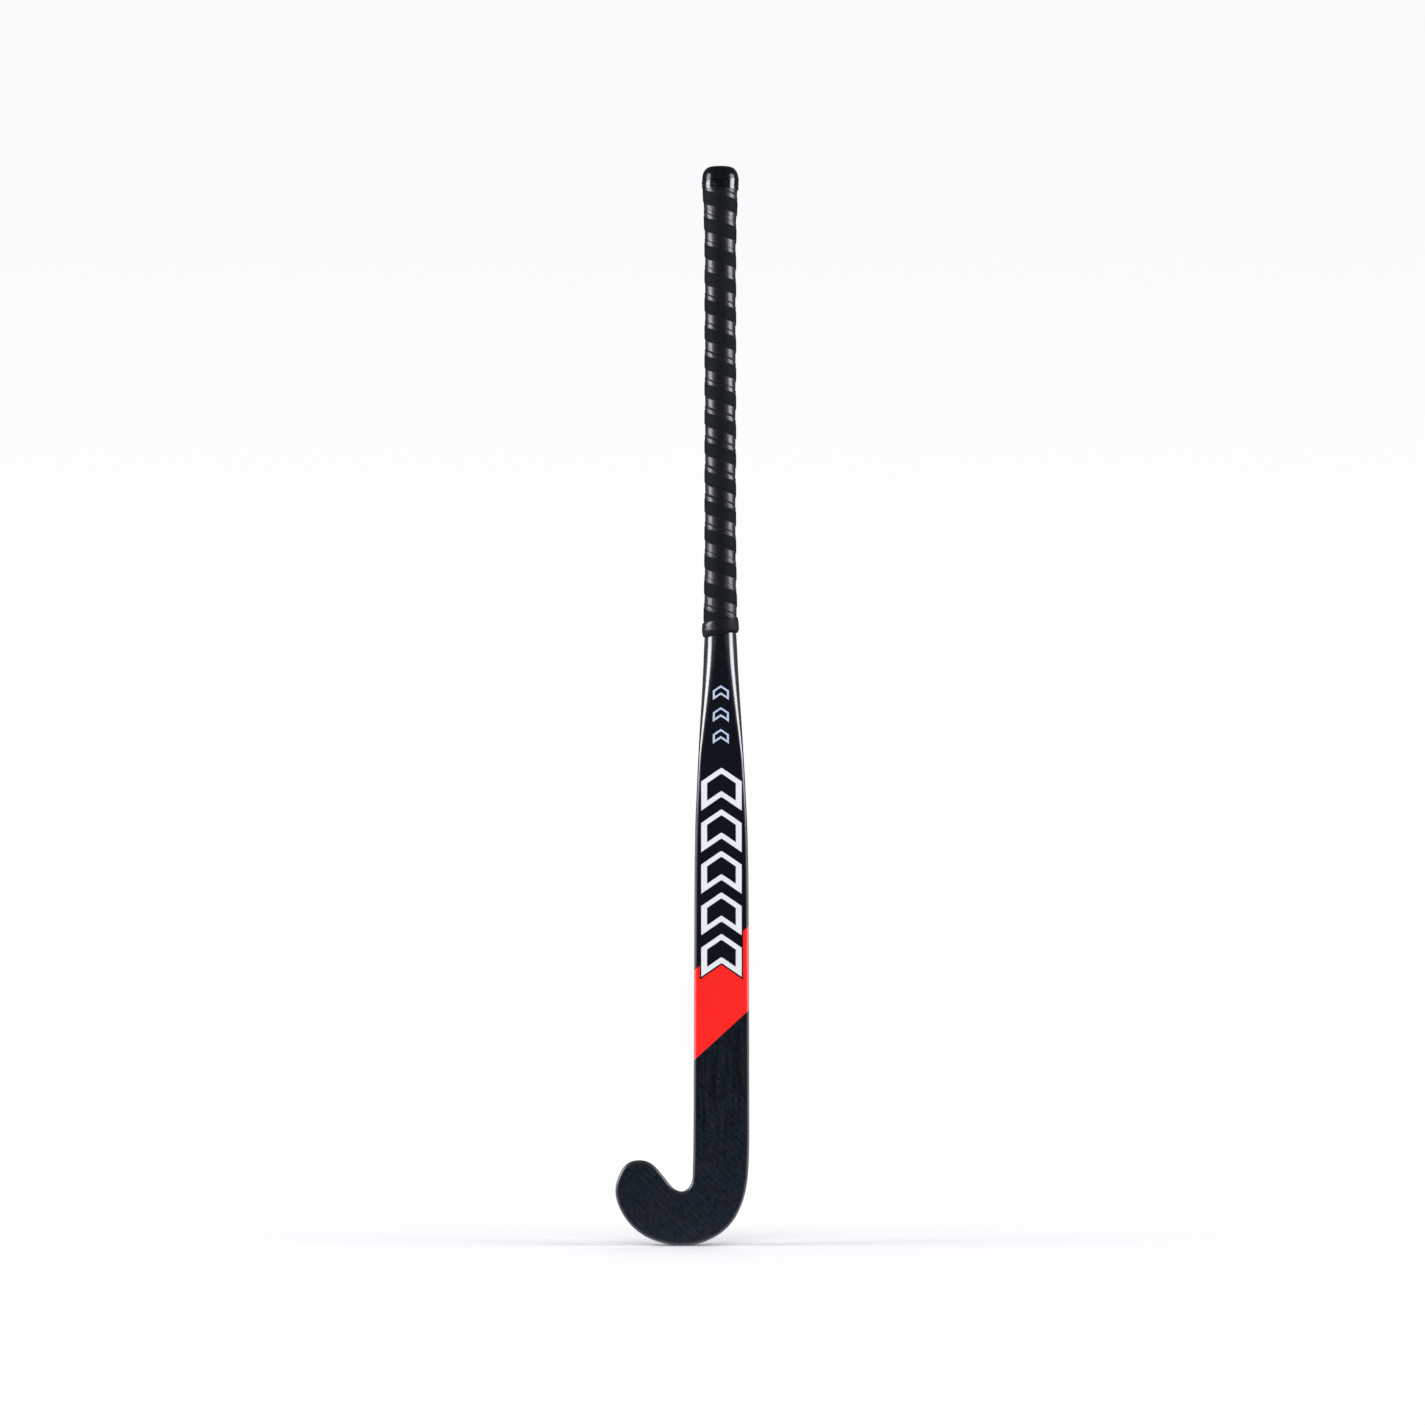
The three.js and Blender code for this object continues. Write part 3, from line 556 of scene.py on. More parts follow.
# ------------------------------------------------------------------ shell material
# The red band's slanting edges: height at x = WHITE_X, and slope.
RED_LOW = (179.95, 0.911)
RED_HIGH = (254.65, 0.813)
# Black ground round the lowest white mark: half width, and how far it reaches below the mark.
GROUND_HALF, GROUND_BELOW = 18.6, 1.45


def shell_zones(n):
    """Masks: above the red band's lower edge, above its upper edge, and the band itself."""
    across = n.sub(n.x, WHITE_X)
    wobble = n.jitter(0.25, scale=160.0, detail=2.0)

    def above(height, slope):
        line = n.add(n.math("MULTIPLY_ADD", across, slope, height), wobble)
        return n.step(n.sub(n.z, line), edge=0.0, soft=0.18)

    above_low, above_high = above(*RED_LOW), above(*RED_HIGH)
    off_middle = n.math("ABSOLUTE", across)
    foot = n.math("MULTIPLY_ADD", off_middle, -WHITE_DROP / WHITE_HALF, WHITE_Z - GROUND_BELOW)
    ground = n.mul(n.below(off_middle, edge=GROUND_HALF, soft=0.2),
                   n.step(n.sub(n.z, foot), edge=0.0, soft=0.2))
    ground = n.mul(ground, n.step(n.front(), edge=0.2, soft=0.1))
    above_high = n.math("MAXIMUM", above_high, ground)
    return above_low, above_high, n.mul(above_low, n.inverse(above_high))


def bare_laminate(n, top, mottle):
    """Bare cloth: resin mottling, tows that run up the shaft, darker towards the red. The two tows of the twill
    take two tones as a painted sheen.
    """
    toe_tow_sheen, heel_tow_sheen = (0.0037, 0.0062, 0.0114), (0.0051, 0.0094, 0.0160)
    clouded, grey_resin = (0.0052, 0.0078, 0.0132), (0.0092, 0.0084, 0.0120)
    cloud = n.noise(38.0, rough=0.5)
    tow = n.noise(400.0, detail=2.0, rough=0.6, stretch=(1.0, 0.4, 0.04))
    patch = n.noise(85.0, detail=2.0, rough=0.5, stretch=(1.0, 0.4, 1.0))
    # the tows on top and those under them take two tones: a painted sheen of one and the same fibre
    bare = n.mix(top, toe_tow_sheen, heel_tow_sheen)
    bare = n.mix(n.remap(cloud, to=(0.0, 0.30)), bare, clouded)
    bare = n.mix(n.remap(patch, to=(0.0, 0.55), over=(0.45, 0.75)), bare, grey_resin)
    hook = n.below(n.z, edge=92.0, soft=50.0)
    streaks = n.lerp(hook, n.remap(tow, to=(0.48, 1.54), over=(0.35, 0.65)), 1.04)
    brightness = n.mul(n.remap(mottle, to=(0.60, 1.44)), streaks)
    run_in = n.lerp(n.step(n.z, edge=150.0, soft=160.0), 1.0, 0.74)
    brightness = n.mul(brightness, run_in)
    tint = n.node("VectorMath", {0: bare, "Scale": brightness}, operation="SCALE")
    return tint.outputs[0]


def shell_material():
    n = Material("lacquered_laminate")
    above_low, above_high, red = shell_zones(n)
    facing = n.front()
    flat = n.math("GREATER_THAN", n.math("ABSOLUTE", facing), 0.75)
    top, weave = n.twill(pitch=1.75, flat=flat)
    mottle = n.noise(330.0, rough=0.62, stretch=(1.0, 0.4, 0.62))

    dark_a, dark_tow_sheen = (0.0044, 0.0055, 0.0092), (0.0062, 0.0076, 0.0122)
    red_a, red_b = (0.96, 0.0150, 0.0118), (0.93, 0.0185, 0.0150)
    worn_sheen_a, worn_sheen_b, worn_sheen_red = (0.040, 0.042, 0.047), (0.046, 0.047, 0.052), (0.34, 0.085, 0.085)
    scuffed = (0.035, 0.042, 0.055)

    bare = bare_laminate(n, top, mottle)
    # the tows show through the dark lacquer in two tones, a painted sheen
    upper = n.mix(n.mul(top, 0.4), dark_a, dark_tow_sheen)
    band = n.mix(n.remap(n.noise(55.0, detail=2.0), over=(0.35, 0.65)), red_a, red_b)
    color = n.mix(above_low, bare, n.mix(above_high, band, upper))
    # the rounded edge of the face is painted paler all the way round: part rubbed wear, part a painted highlight
    # standing in for the rim's reflection
    edge = n.mul(n.below(facing, edge=0.90, soft=0.14), n.step(facing, edge=0.10, soft=0.40))
    rub_and_sheen = n.mul(edge, n.remap(n.noise(260.0, detail=4.0, rough=0.6), to=(0.75, 1.15)))
    rub_and_sheen_strength = n.lerp(red, 0.46, 0.20)
    worn_and_sheen = n.mix(red, n.mix(0.5, worn_sheen_a, worn_sheen_b), worn_sheen_red)
    color = n.mix(n.mul(rub_and_sheen, rub_and_sheen_strength), color, worn_and_sheen)
    # scuffs on the hook
    hook = n.below(n.z, edge=70.0, soft=60.0)
    scratch = n.noise(420.0, detail=5.0, rough=0.7, stretch=(0.22, 1.0, 1.0), distortion=0.4)
    scuff = n.mul(n.step(scratch, edge=0.70, soft=0.05), n.mul(hook, 0.30))
    n.set("Base Color", n.mix(scuff, color, scuffed))

    # each pair runs from bare cloth to lacquer, or from dark lacquer to red
    n.set("Specular IOR Level", n.lerp(edge, n.lerp(above_low, 0.5, 0.25), 0.8))
    bare_rough = n.remap(mottle, to=(0.29, 0.33), over=(0.25, 0.75))
    rough = n.lerp(above_low, bare_rough, n.lerp(red, 0.20, 0.34))
    n.set("Roughness", n.add(rough, n.mul(scuff, 0.25)))
    n.set("Coat Weight", n.lerp(above_low, 0.0, 0.78))
    n.set("Coat Roughness", n.remap(n.noise(70.0, detail=2.0), to=(0.035, 0.075)))
    n.set("Coat IOR", 1.385)
    # the weave is plain in the bare cloth and faint under the lacquer
    weave_amount = n.lerp(above_low, 0.45, n.lerp(red, 0.06, 0.08))
    fine = n.noise(2600.0, detail=2.0, rough=0.6)
    relief = n.add(n.mul(weave, weave_amount), n.mul(fine, n.lerp(above_low, 0.22, 0.03)))
    n.set("Normal", n.bump(relief, strength=0.55, depth=0.00006))
    ripple = n.noise(220.0, detail=2.0, rough=0.5)
    n.set("Coat Normal", n.bump(ripple, strength=0.35, depth=0.00008))
    return n.material


# ------------------------------------------------------------------ other materials
def grip_material():
    """v on the wrap map is the distance from the ribbon's upper edge."""
    n = Material("grip_polyurethane")
    matte_a, matte_b, rib_crest_highlight = (0.0048, 0.0058, 0.0080), (0.0078, 0.0090, 0.0118), (0.0125, 0.0140, 0.0175)
    smooth_a, smooth_b, seam_shade_color = (0.0040, 0.0050, 0.0066), (0.0064, 0.0076, 0.0098), (0.0045, 0.0052, 0.0068)
    v = n.add(n.wrap[1], n.jitter(0.5, scale=240.0, detail=2.0))
    band = n.mul(n.step(v, edge=4.1, soft=0.35), n.below(v, edge=15.6, soft=0.35))
    # the skived edge and the valley beside it stay dull, and take a slightly darker colour as painted shade in
    # the valley
    seam = n.math("MAXIMUM", n.step(v, edge=23.2, soft=0.8), n.below(v, edge=0.5, soft=0.5))
    seam = n.mul(seam, 0.8)
    # fine lengthways ribs and a leathery pebble in the band
    rib_pitch = 0.62
    ribs = n.math("SINE", n.mul(v, TURN / rib_pitch))
    pebble = n.noise(1500.0, rough=0.6)
    crease = n.noise(300.0, detail=4.0, rough=0.6, stretch=(1.0, 1.0, 0.35))
    dust = n.noise(34.0, detail=4.0, rough=0.6)
    matte = n.blotch(dust, matte_a, matte_b)
    # the rib crests are painted lighter: a painted highlight along the ribs
    matte = n.mix(n.remap(ribs, to=(0.0, 0.35), over=(-1, 1)), matte, rib_crest_highlight)
    smooth = n.mix(seam, n.blotch(dust, smooth_a, smooth_b), seam_shade_color)
    n.set("Base Color", n.mix(band, smooth, matte))
    smooth_rough = n.lerp(seam, n.remap(n.noise(130.0), to=(0.285, 0.39)), 0.75)
    n.set("Roughness", n.lerp(band, smooth_rough, n.remap(pebble, to=(0.62, 0.80))))
    n.set("Specular IOR Level", n.lerp(band, n.lerp(seam, 0.60, 0.12), 0.06))
    band_relief = n.add(n.mul(ribs, 0.32), n.mul(pebble, 0.9))
    smooth_relief = n.add(n.mul(pebble, 0.16), n.mul(crease, 0.5))
    relief = n.lerp(band, smooth_relief, band_relief)
    n.set("Normal", n.bump(relief, strength=0.6, depth=0.00010))
    return n.material


def cap_material():
    n = Material("cap_rubber")
    dark, light = (0.0030, 0.0050, 0.0062), (0.0055, 0.0078, 0.0092)
    n.set("Base Color", n.blotch(n.noise(60.0), dark, light))
    n.set("Roughness", n.remap(n.noise(420.0), to=(0.13, 0.22)))
    n.set("Specular IOR Level", 0.32)
    relief = n.add(n.noise(260.0, detail=2.0), n.mul(n.noise(2200.0, detail=2.0), 0.12))
    n.set("Normal", n.bump(relief, strength=0.5, depth=0.00022))
    return n.material


def vinyl_material(name, colors, rough, coat, grain, dull_heel=False):
    n = Material(name)
    n.set("Base Color", n.blotch(n.noise(90.0), *colors))
    roughness = n.remap(n.noise(300.0), to=rough)
    if dull_heel:  # scuffed on the heel side and along the lower edge
        dull = n.step(n.add(n.x, n.jitter(6.0, scale=200.0)), edge=34.0, soft=6.0)
        height = n.add(n.z, n.jitter(1.2, scale=160.0, detail=2.0))
        low = n.below(height, edge=528.5, soft=0.7)
        dull = n.math("MAXIMUM", dull, n.mul(low, 0.9))
        roughness = n.add(roughness, n.mul(dull, 0.26))
        n.set("Specular IOR Level", n.lerp(dull, 0.56, 0.15))
    n.set("Roughness", roughness)
    n.set("Coat Weight", coat)
    n.set("Coat Roughness", 0.08)
    relief = n.add(n.noise(300.0, detail=2.0, stretch=(1, 1, 1.6)),
                   n.mul(n.noise(2400.0, detail=2.0), 0.04))
    n.set("Normal", n.bump(relief, strength=grain, depth=0.00022))
    return n.material


def film_material(name, first, second):
    n = Material(name)
    n.set("Base Color", n.blotch(n.noise(120.0), first, second))
    n.set("Roughness", n.remap(n.noise(500.0, detail=2.0), to=(0.28, 0.38)))
    n.set("Coat Weight", 0.5)
    n.set("Coat Roughness", 0.08)
    n.set("Normal", n.bump(n.noise(900.0, detail=2.0), strength=0.25, depth=0.00004))
    return n.material


def foam_material(name, wall, pore_shade, cells_per_metre):
    n = Material(name)
    cells = n.node("TexVoronoi", {"Scale": cells_per_metre, "Vector": n.place})
    distance = cells.outputs["Distance"]
    # the pores are coloured darker than the walls: painted shade in the hollows of the foam
    n.set("Base Color", n.mix(n.remap(distance, over=(0.0, 0.6)), pore_shade, wall))
    n.set("Roughness", 0.92)
    n.set("Normal", n.bump(distance, strength=0.8, depth=0.0004))
    return n.material


def braid_material():
    n = Material("inner_braid")
    axis_x, axis_y, radius = 33.0, 0.0, 10.0
    angle = n.math("ARCTAN2", n.sub(n.x, axis_x), n.sub(n.y, axis_y))
    a, b = n.diagonals(n.mul(angle, radius), n.z, density=0.5)
    top = n.cells(a, b, 2.0)
    height = n.lerp(top, n.arch(a), n.arch(b))
    dark, light = (0.018, 0.019, 0.022), (0.035, 0.037, 0.041)
    n.set("Base Color", n.mix(top, dark, light))
    n.set("Roughness", n.remap(height, to=(0.5, 0.32), over=(0, 1)))
    n.set("Normal", n.bump(height, strength=0.6, depth=0.0002))
    return n.material


def aramid_material():
    n = Material("aramid_weave")
    a, b = n.diagonals(n.x, n.z, density=0.6)
    dark, light = (0.55, 0.37, 0.06), (0.68, 0.49, 0.11)
    n.set("Base Color", n.mix(n.cells(a, b, 2.0), dark, light))
    n.set("Roughness", 0.6)
    relief = n.add(n.arch(a), n.noise(1500.0))
    n.set("Normal", n.bump(relief, strength=0.5, depth=0.0002))
    return n.material


def plain_grain(name, dark, light, rough, grain=1200.0):
    n = Material(name)
    specks = n.noise(grain)
    n.set("Base Color", n.blotch(specks, dark, light))
    n.set("Roughness", n.remap(n.noise(200.0), to=(rough - 0.06, rough + 0.06)))
    n.set("Normal", n.bump(specks, strength=0.4, depth=0.0001))
    return n.material


SHELL = shell_material()
GRIP = grip_material()
CAP = cap_material()
CAP_VINYL = vinyl_material(
    "cap_vinyl", colors=((0.0012, 0.0024, 0.0033), (0.0026, 0.0038, 0.0050)),
    rough=(0.12, 0.22), coat=0.6, grain=0.35,
)
FINISH_VINYL = vinyl_material(
    "finishing_vinyl", colors=((0.0042, 0.0050, 0.0066), (0.0070, 0.0080, 0.0100)),
    rough=(0.27, 0.36), coat=0.0, grain=0.5, dull_heel=True,
)
WHITE = film_material("white_film", first=(0.84, 0.86, 0.90), second=(0.80, 0.82, 0.87))
BLUE = film_material("blue_film", first=(0.53, 0.63, 0.82), second=(0.47, 0.57, 0.77))
KEYLINE = film_material("black_keyline", first=(0.0045, 0.005, 0.0065), second=(0.006, 0.007, 0.009))
BORE = plain_grain(
    "bare_laminate_inside", dark=(0.012, 0.013, 0.015), light=(0.022, 0.023, 0.026), rough=0.6
)


# ------------------------------------------------------------------ the shell
def build_shell():
    heights = np.r_[
        np.linspace(SHELL_TOP, 660, 26), np.linspace(656, 566, 24),
        np.arange(563, 380, -3.0), np.arange(380, 90.5, -3.5),
    ]
    stations = [shaft_station(float(z)) for z in heights]
    stations += [hook_station(float(s)) for s in np.linspace(0, HOOK_LEN, 66)]
    inner_stations = stations[::3]
    if (len(stations) - 1) % 3:
        inner_stations.append(stations[-1])
    outer, outer_uv = spoke_rows(stations, inset=0.0, fan=44)
    inner, inner_uv = spoke_rows(inner_stations, inset=WALL, fan=16)
    sheet = Sheet()
    sheet.grid(outer, outer_uv)
    sheet.grid(inner, inner_uv, flip=True, slot=1)
    # the open top's rim, toe half and heel half
    sheet.grid(np.array([inner[0], outer[0]]), slot=1)
    sheet.grid(np.array([outer[-1], inner[-1]]), slot=1)
    shell = sheet.build("painted_shell", [SHELL, BORE], angle=60)
    attach(shell, "laminate_shell")


build_shell()

# ------------------------------------------------------------------ round the handle
WRAP_R = 13.4  # mm on the wrap map for each radian round the handle


def handle_point(z, phi, off):
    """Points on the bare handle moved outwards by off; phi is 0 at the front and grows towards
    the heel. Arrays broadcast together."""
    z, phi, off = np.broadcast_arrays(
        np.asarray(z, float), np.asarray(phi, float), np.asarray(off, float)
    )
    half, depth, r, power = half_width(z), depth_at(z), edge_r(z), back_power(z)
    side, front = np.sign(np.sin(phi)), np.cos(phi) >= 0
    u = np.minimum(1, np.abs(np.sin(phi)))
    back = r + (depth - r) * np.maximum(0, 1 - u**power) ** (1 / power)
    x = middle_x(z) + side * half * u
    y = face_y(z) + np.where(front, edge_drop((1 - u) * half, r), back)
    y_radius = np.where(front, r, depth - r)
    nx = side * u * half / (half * half)
    ny = (y - face_y(z) - r) / (y_radius * y_radius)
    size = np.hypot(nx, ny)
    return np.stack([x + nx / size * off, y + ny / size * off, z], -1)


def wave_noise(seed, count, low, high):
    """Random sine waves, low to high - 1 to a turn, for wrinkles: returns f(phi, z)."""
    rng = np.random.default_rng(seed)
    waves = rng.integers(low, high, count)
    lean = rng.uniform(-1.6, 1.6, count)
    phase = rng.uniform(0, TURN, count)
    weight = rng.uniform(0.4, 1.0, count)
    weight /= weight.sum()

    def wrinkle(phi, z):
        total = 0
        for i in range(count):
            total = total + weight[i] * np.sin(waves[i] * phi + lean[i] * z + phase[i])
        return total

    return wrinkle


def finish_edge_lean(phi):
    """How far the finishing tape's upper edge rises round the handle."""
    return 0.3 + 2.4 * np.sin(phi + 0.1)


# ------------------------------------------------------------------ grip
# One ribbon, wound downwards, each turn's upper margin lying over the turn above it.
STEPS_PER_TURN = 88
RIBBON_W = 27.6
# Height of the ribbon's base off the handle, (z, height).
grip_base = Pchip([
    (525, 1.15), (539, 1.25), (545, 1.45), (554, 1.56), (600, 1.56), (850, 1.56), (863, 1.72),
    (880, 2.12), (893, 2.72), (900, 2.90), (906, 3.12), (912, 3.12),
])
# Height of its underside, (z, height).
under_base = Pchip([(525, 0.42), (850, 0.42), (884, 1.25), (912, 1.3)])
# Ribbon's outside, (distance from the upper edge, height over the base).
PROFILE = np.array([
    (0.00, 0.04), (0.10, 0.14), (0.35, 0.24), (0.8, 0.32), (1.5, 0.335), (2.4, 0.30),
    (3.2, 0.25), (3.65, 0.21), (3.85, 0.22), (4.0, 0.33), (4.2, 0.50), (4.45, 0.58),
    (5.1, 0.62), (7.0, 0.65), (9.8, 0.67), (12.6, 0.66), (14.6, 0.62), (15.25, 0.57),
    (15.5, 0.45), (15.7, 0.22), (15.9, 0.08), (16.4, 0.03), (17.4, 0.01), (18.4, 0.01),
    (19.0, 0.01), (19.5, 0.0), (19.8, 0.0), (20.1, 0.0), (20.4, 0.0), (20.8, 0.0),
    (21.4, -0.01), (22.2, -0.02), (23.2, -0.09), (24.4, -0.20), (25.2, -0.24), (27.3, -0.26),
    (RIBBON_W, -0.30),
])
# Underside, back to the upper edge; below -0.5 it lies at under_base instead.
UNDER = np.array([
    (RIBBON_W, -0.75), (20.0, -1.0), (8.0, -1.0), (4.6, -0.95), (3.9, -0.40), (3.45, -0.12),
    (3.2, -0.09), (0.0, -0.07),
])
# How far each turn sits from an even winding, (z of its smooth half, shift up).
WANDER = Pchip([
    (500, 1.9), (532.8, 1.9), (545.0, 1.7), (557.7, 0.92), (582.6, 0.08), (607.5, -1.05),
    (632.4, -1.28), (657.3, -1.0), (682.2, -0.1), (707.1, 0.95), (732.0, 1.05), (756.9, 0.50),
    (781.8, 0.0), (806.7, -0.15), (831.6, -0.98), (856.5, -2.25), (881.4, -3.55),
    (906, -4.15), (960, -4.15),
])


def grip_winding():
    """phi and the height of the ribbon's upper edge, step by step."""
    first = GRIP_SEAM + GRIP_PITCH * 6
    turns = math.ceil((first + RIBBON_W - GRIP_BOTTOM) / GRIP_PITCH) + 1
    steps = np.arange(0, turns * STEPS_PER_TURN + 1)
    phi = TURN * steps / STEPS_PER_TURN
    # the hand-wound pitch is not quite even
    drift = 0.35 * np.sin(phi / 5.3 + 0.7) + 0.2 * np.sin(phi / 2.17)
    top = first - GRIP_PITCH * steps / STEPS_PER_TURN + drift
    top = top + WANDER(top - 18.0)
    keep = (top - RIBBON_W < GRIP_TOP - 0.05) & (top > GRIP_BOTTOM + 0.05)
    return phi[keep], top[keep]


def ribbon_surface(profile, phi, top):
    """The profile carried along the winding: distances from the upper edge, heights of the
    points, and profile heights. Cut off at both ends of the grip."""
    low = np.clip(top - GRIP_TOP, 0, RIBBON_W)[:, None]
    high = np.clip(top - GRIP_BOTTOM, 0, RIBBON_W)[:, None]
    v = np.clip(profile[None, :, 0], low, high)
    order = np.argsort(profile[:, 0])
    # a cut edge is one line, at the height the ribbon has there
    height = np.interp(v, profile[order, 0], profile[order, 1])
    return v, top[:, None] - v, height


def build_grip():
    phi, top = grip_winding()
    around = phi[:, None]
    wrinkle = wave_noise(3, 9, 3, 17)

    v_out, z, height = ribbon_surface(PROFILE, phi, top)
    lumps = 0.035 * wrinkle(around, z * 0.35) + 0.02 * np.sin(around * 2.3 + v_out * 0.8)
    # the first turn below the cap is pulled over the flare and creases
    first = np.clip((z - 868.0) / 8.0, 0, 1) * (0.75 - 0.25 * np.sin(around))
    groove = 0.24 * np.exp(-(((v_out - 20.1 - 0.3 * np.sin(2 * around)) / 0.42) ** 2))
    ridge = 0.07 * np.exp(-(((v_out - 19.0) / 0.6) ** 2))
    lumps = lumps - first * (groove - ridge)
    off = grip_base(z) + height + np.where(height > -0.04, lumps, 0)
    # under the finishing tape the ribs are pressed flat
    tape_edge = FINISH_TOP + finish_edge_lean(around)
    pressed = np.interp(z - tape_edge, [-1.5, 0.0, 0.5, 0.6], [1.52, 1.80, 2.1, 9.0])
    outside = handle_point(z, around, np.minimum(off, pressed))

    v_in, z, height = ribbon_surface(UNDER, phi, top)
    off = np.where(height < -0.5, under_base(z), grip_base(z) + height)
    inside = handle_point(z, around, off)

    loop = np.concatenate([outside, inside, outside[:, :1]], 1)
    v = np.concatenate([v_out, v_in, v_out[:, :1]], 1)
    uv = np.stack([around * WRAP_R * np.ones_like(v), v], -1)
    # each end of the ribbon is cut to a point, so that it lies down on the turn beside it;
    # the point is the middle of the loop without its repeated column
    closed, uv_closed = close_ends(loop[:, :-1], uv[:, :-1])
    sheet = Sheet()
    sheet.grid(
        np.concatenate([closed, closed[:, :1]], 1),
        np.concatenate([uv_closed, uv_closed[:, :1]], 1),
    )
    attach(sheet.build("grip_wrap", [GRIP], angle=48), "grip_tape")


build_grip()


# ------------------------------------------------------------------ rings: cap, tapes
def ring_piece(name, rows, material, count, offset, tilt=None, closed_ends=False):
    """Rows of (height, distance off the handle), down the outside then up the inside. They close
    on the first row, or with closed_ends on the axis. offset and tilt shift them off and up."""
    phi = TURN * np.arange(count) / count
    points, uv = [], []
    run = 0.0
    for i, (z, off) in enumerate(rows):
        if i:
            run += math.hypot(z - rows[i - 1][0], off - rows[i - 1][1])
        ring_z = z + (tilt(phi, z) if tilt else 0 * phi)
        points.append(handle_point(ring_z, phi, off + offset(phi, ring_z, i)))
        uv.append(np.stack([phi * WRAP_R, np.full(count, run)], -1))
    points, uv = np.array(points), np.array(uv)
    if closed_ends:
        points, uv = close_ends(points, uv)
    else:
        points, uv = np.concatenate([points, points[:1]]), np.concatenate([uv, uv[:1]])
    sheet = Sheet()
    sheet.grid(points, uv, wrap=True)
    return sheet.build(name, [material], angle=50)


def densify(rows, step):
    out = [rows[0]]
    for a, b in zip(rows[:-1], rows[1:]):
        n = max(1, int(math.ceil(math.hypot(b[0] - a[0], b[1] - a[1]) / step)))
        out += [(a[0] + (b[0] - a[0]) * k / n, a[1] + (b[1] - a[1]) * k / n)
                for k in range(1, n + 1)]
    return out


# Profiles below are (z, distance off the handle).
DOME_STEPS = 46
DOME = [
    (926.95, -11.4), (926.95, -8.6), (926.9, -6.2), (926.4, -3.0), (925.25, -0.2),
    (923.3, 1.85), (920.4, 3.35), (917.4, 3.95), (914.9, 4.06), (913.2, 3.93),
]
LIP = [(912.5, 3.72), (912.2, 3.5), (912.2, 0.95)]
SKIRT = [
    (886.4, 0.95), (885.5, 0.85), (885.2, 0.6), (885.2, 0.2), (910.6, 0.2), (910.6, -2.0),
    (910.6, -8.0),
]


def build_cap():
    spline = Spline(DOME)
    dome = [tuple(point) for point in spline(np.linspace(0, spline.length, DOME_STEPS))]
    lump = wave_noise(11, 8, 2, 9)

    def offset(phi, z, i):
        if i >= DOME_STEPS:
            return 0 * phi
        return 0.06 * lump(phi, z * 0.8) * np.clip((LENGTH - z) / 6, 0, 1)

    cap = ring_piece("cap_moulding", dome + LIP + densify(SKIRT, 6.0), CAP, count=120,
                     offset=offset, closed_ends=True)
    attach(cap, "end_cap")


build_cap()

# Stretched vinyl over the joint of cap and grip, pleated most on the toe side.
TAPE_OUT = [
    (915.4, 4.16), (915.2, 4.28), (914.6, 4.34), (912.8, 4.30), (911.0, 4.22), (909.0, 4.16),
    (907.5, 4.12), (907.0, 4.06), (906.8, 3.98),
]
TAPE_IN = [
    (906.8, 3.90), (909.4, 3.92), (911.3, 3.98), (912.8, 4.10), (914.6, 4.18), (915.4, 4.12),
]
FOLD_PITCH, FOLD_CREST = 2.75, 0.82  # the crest's place, as a share of the pitch


def build_cap_tape():
    outside = densify(TAPE_OUT, 0.3)
    pleat = wave_noise(5, 12, 6, 30)
    broad = wave_noise(8, 10, 3, 14)

    def tilt(phi, z):
        """The upper edge is lower on the toe side."""
        upper = 1.6 * np.sin(phi) * np.clip((z - 909.0) / 6.0, 0, 1)
        return upper + 0.7 * np.sin(phi + 2.4) * np.clip((909.0 - z) / 2.0, 0, 1)

    def offset(phi, z, i):
        """Overlapping turns pulled tight: long folds and small diagonal puckers."""
        if not 1 <= i < len(outside) - 1:
            return 0 * phi
        toe = 0.5 - 0.5 * np.sin(phi)
        lean = 0.9 * np.sin(phi + 0.4) + 0.35 * broad(phi, 0.0)
        saw = np.mod((z - 907.0 + lean) / FOLD_PITCH, 1.0)
        fold = np.where(saw < FOLD_CREST, saw / FOLD_CREST, (1 - saw) / (1 - FOLD_CREST))
        # pulled smooth across the front
        calm = 1 - 0.75 * np.exp(-((np.sin(phi) / 0.42) ** 2)) * (np.cos(phi) > 0)
        folds = (0.07 + 0.22 * toe) * (fold - 0.5)
        puckers = (0.075 + 0.05 * toe) * pleat(phi, z * 1.3) + 0.05 * broad(phi, z * 2.1)
        return calm * (folds + puckers) + 0.03

    tape = ring_piece("cap_tape_stretched", outside + TAPE_IN, CAP_VINYL, count=200,
                      offset=offset, tilt=tilt)
    attach(tape, "cap_tape")


build_cap_tape()

# Finishing tape: a few stretched turns that bulge over the lower end of the grip.
FINISH_OUT = [
    (FINISH_TOP, 1.98), (536.7, 2.12), (535.8, 2.38), (534.6, 2.60), (533.0, 2.70),
    (531.0, 2.74), (529.4, 2.70), (528.2, 2.58), (527.0, 2.26), (526.0, 1.84), (525.2, 1.42),
    (524.75, 1.12), (524.55, 0.95),
]
FINISH_IN = [
    (524.55, 0.3), (529.4, 0.32), (529.7, 1.62), (533.0, 1.72), (535.0, 1.78),
    (FINISH_TOP, 1.86),
]


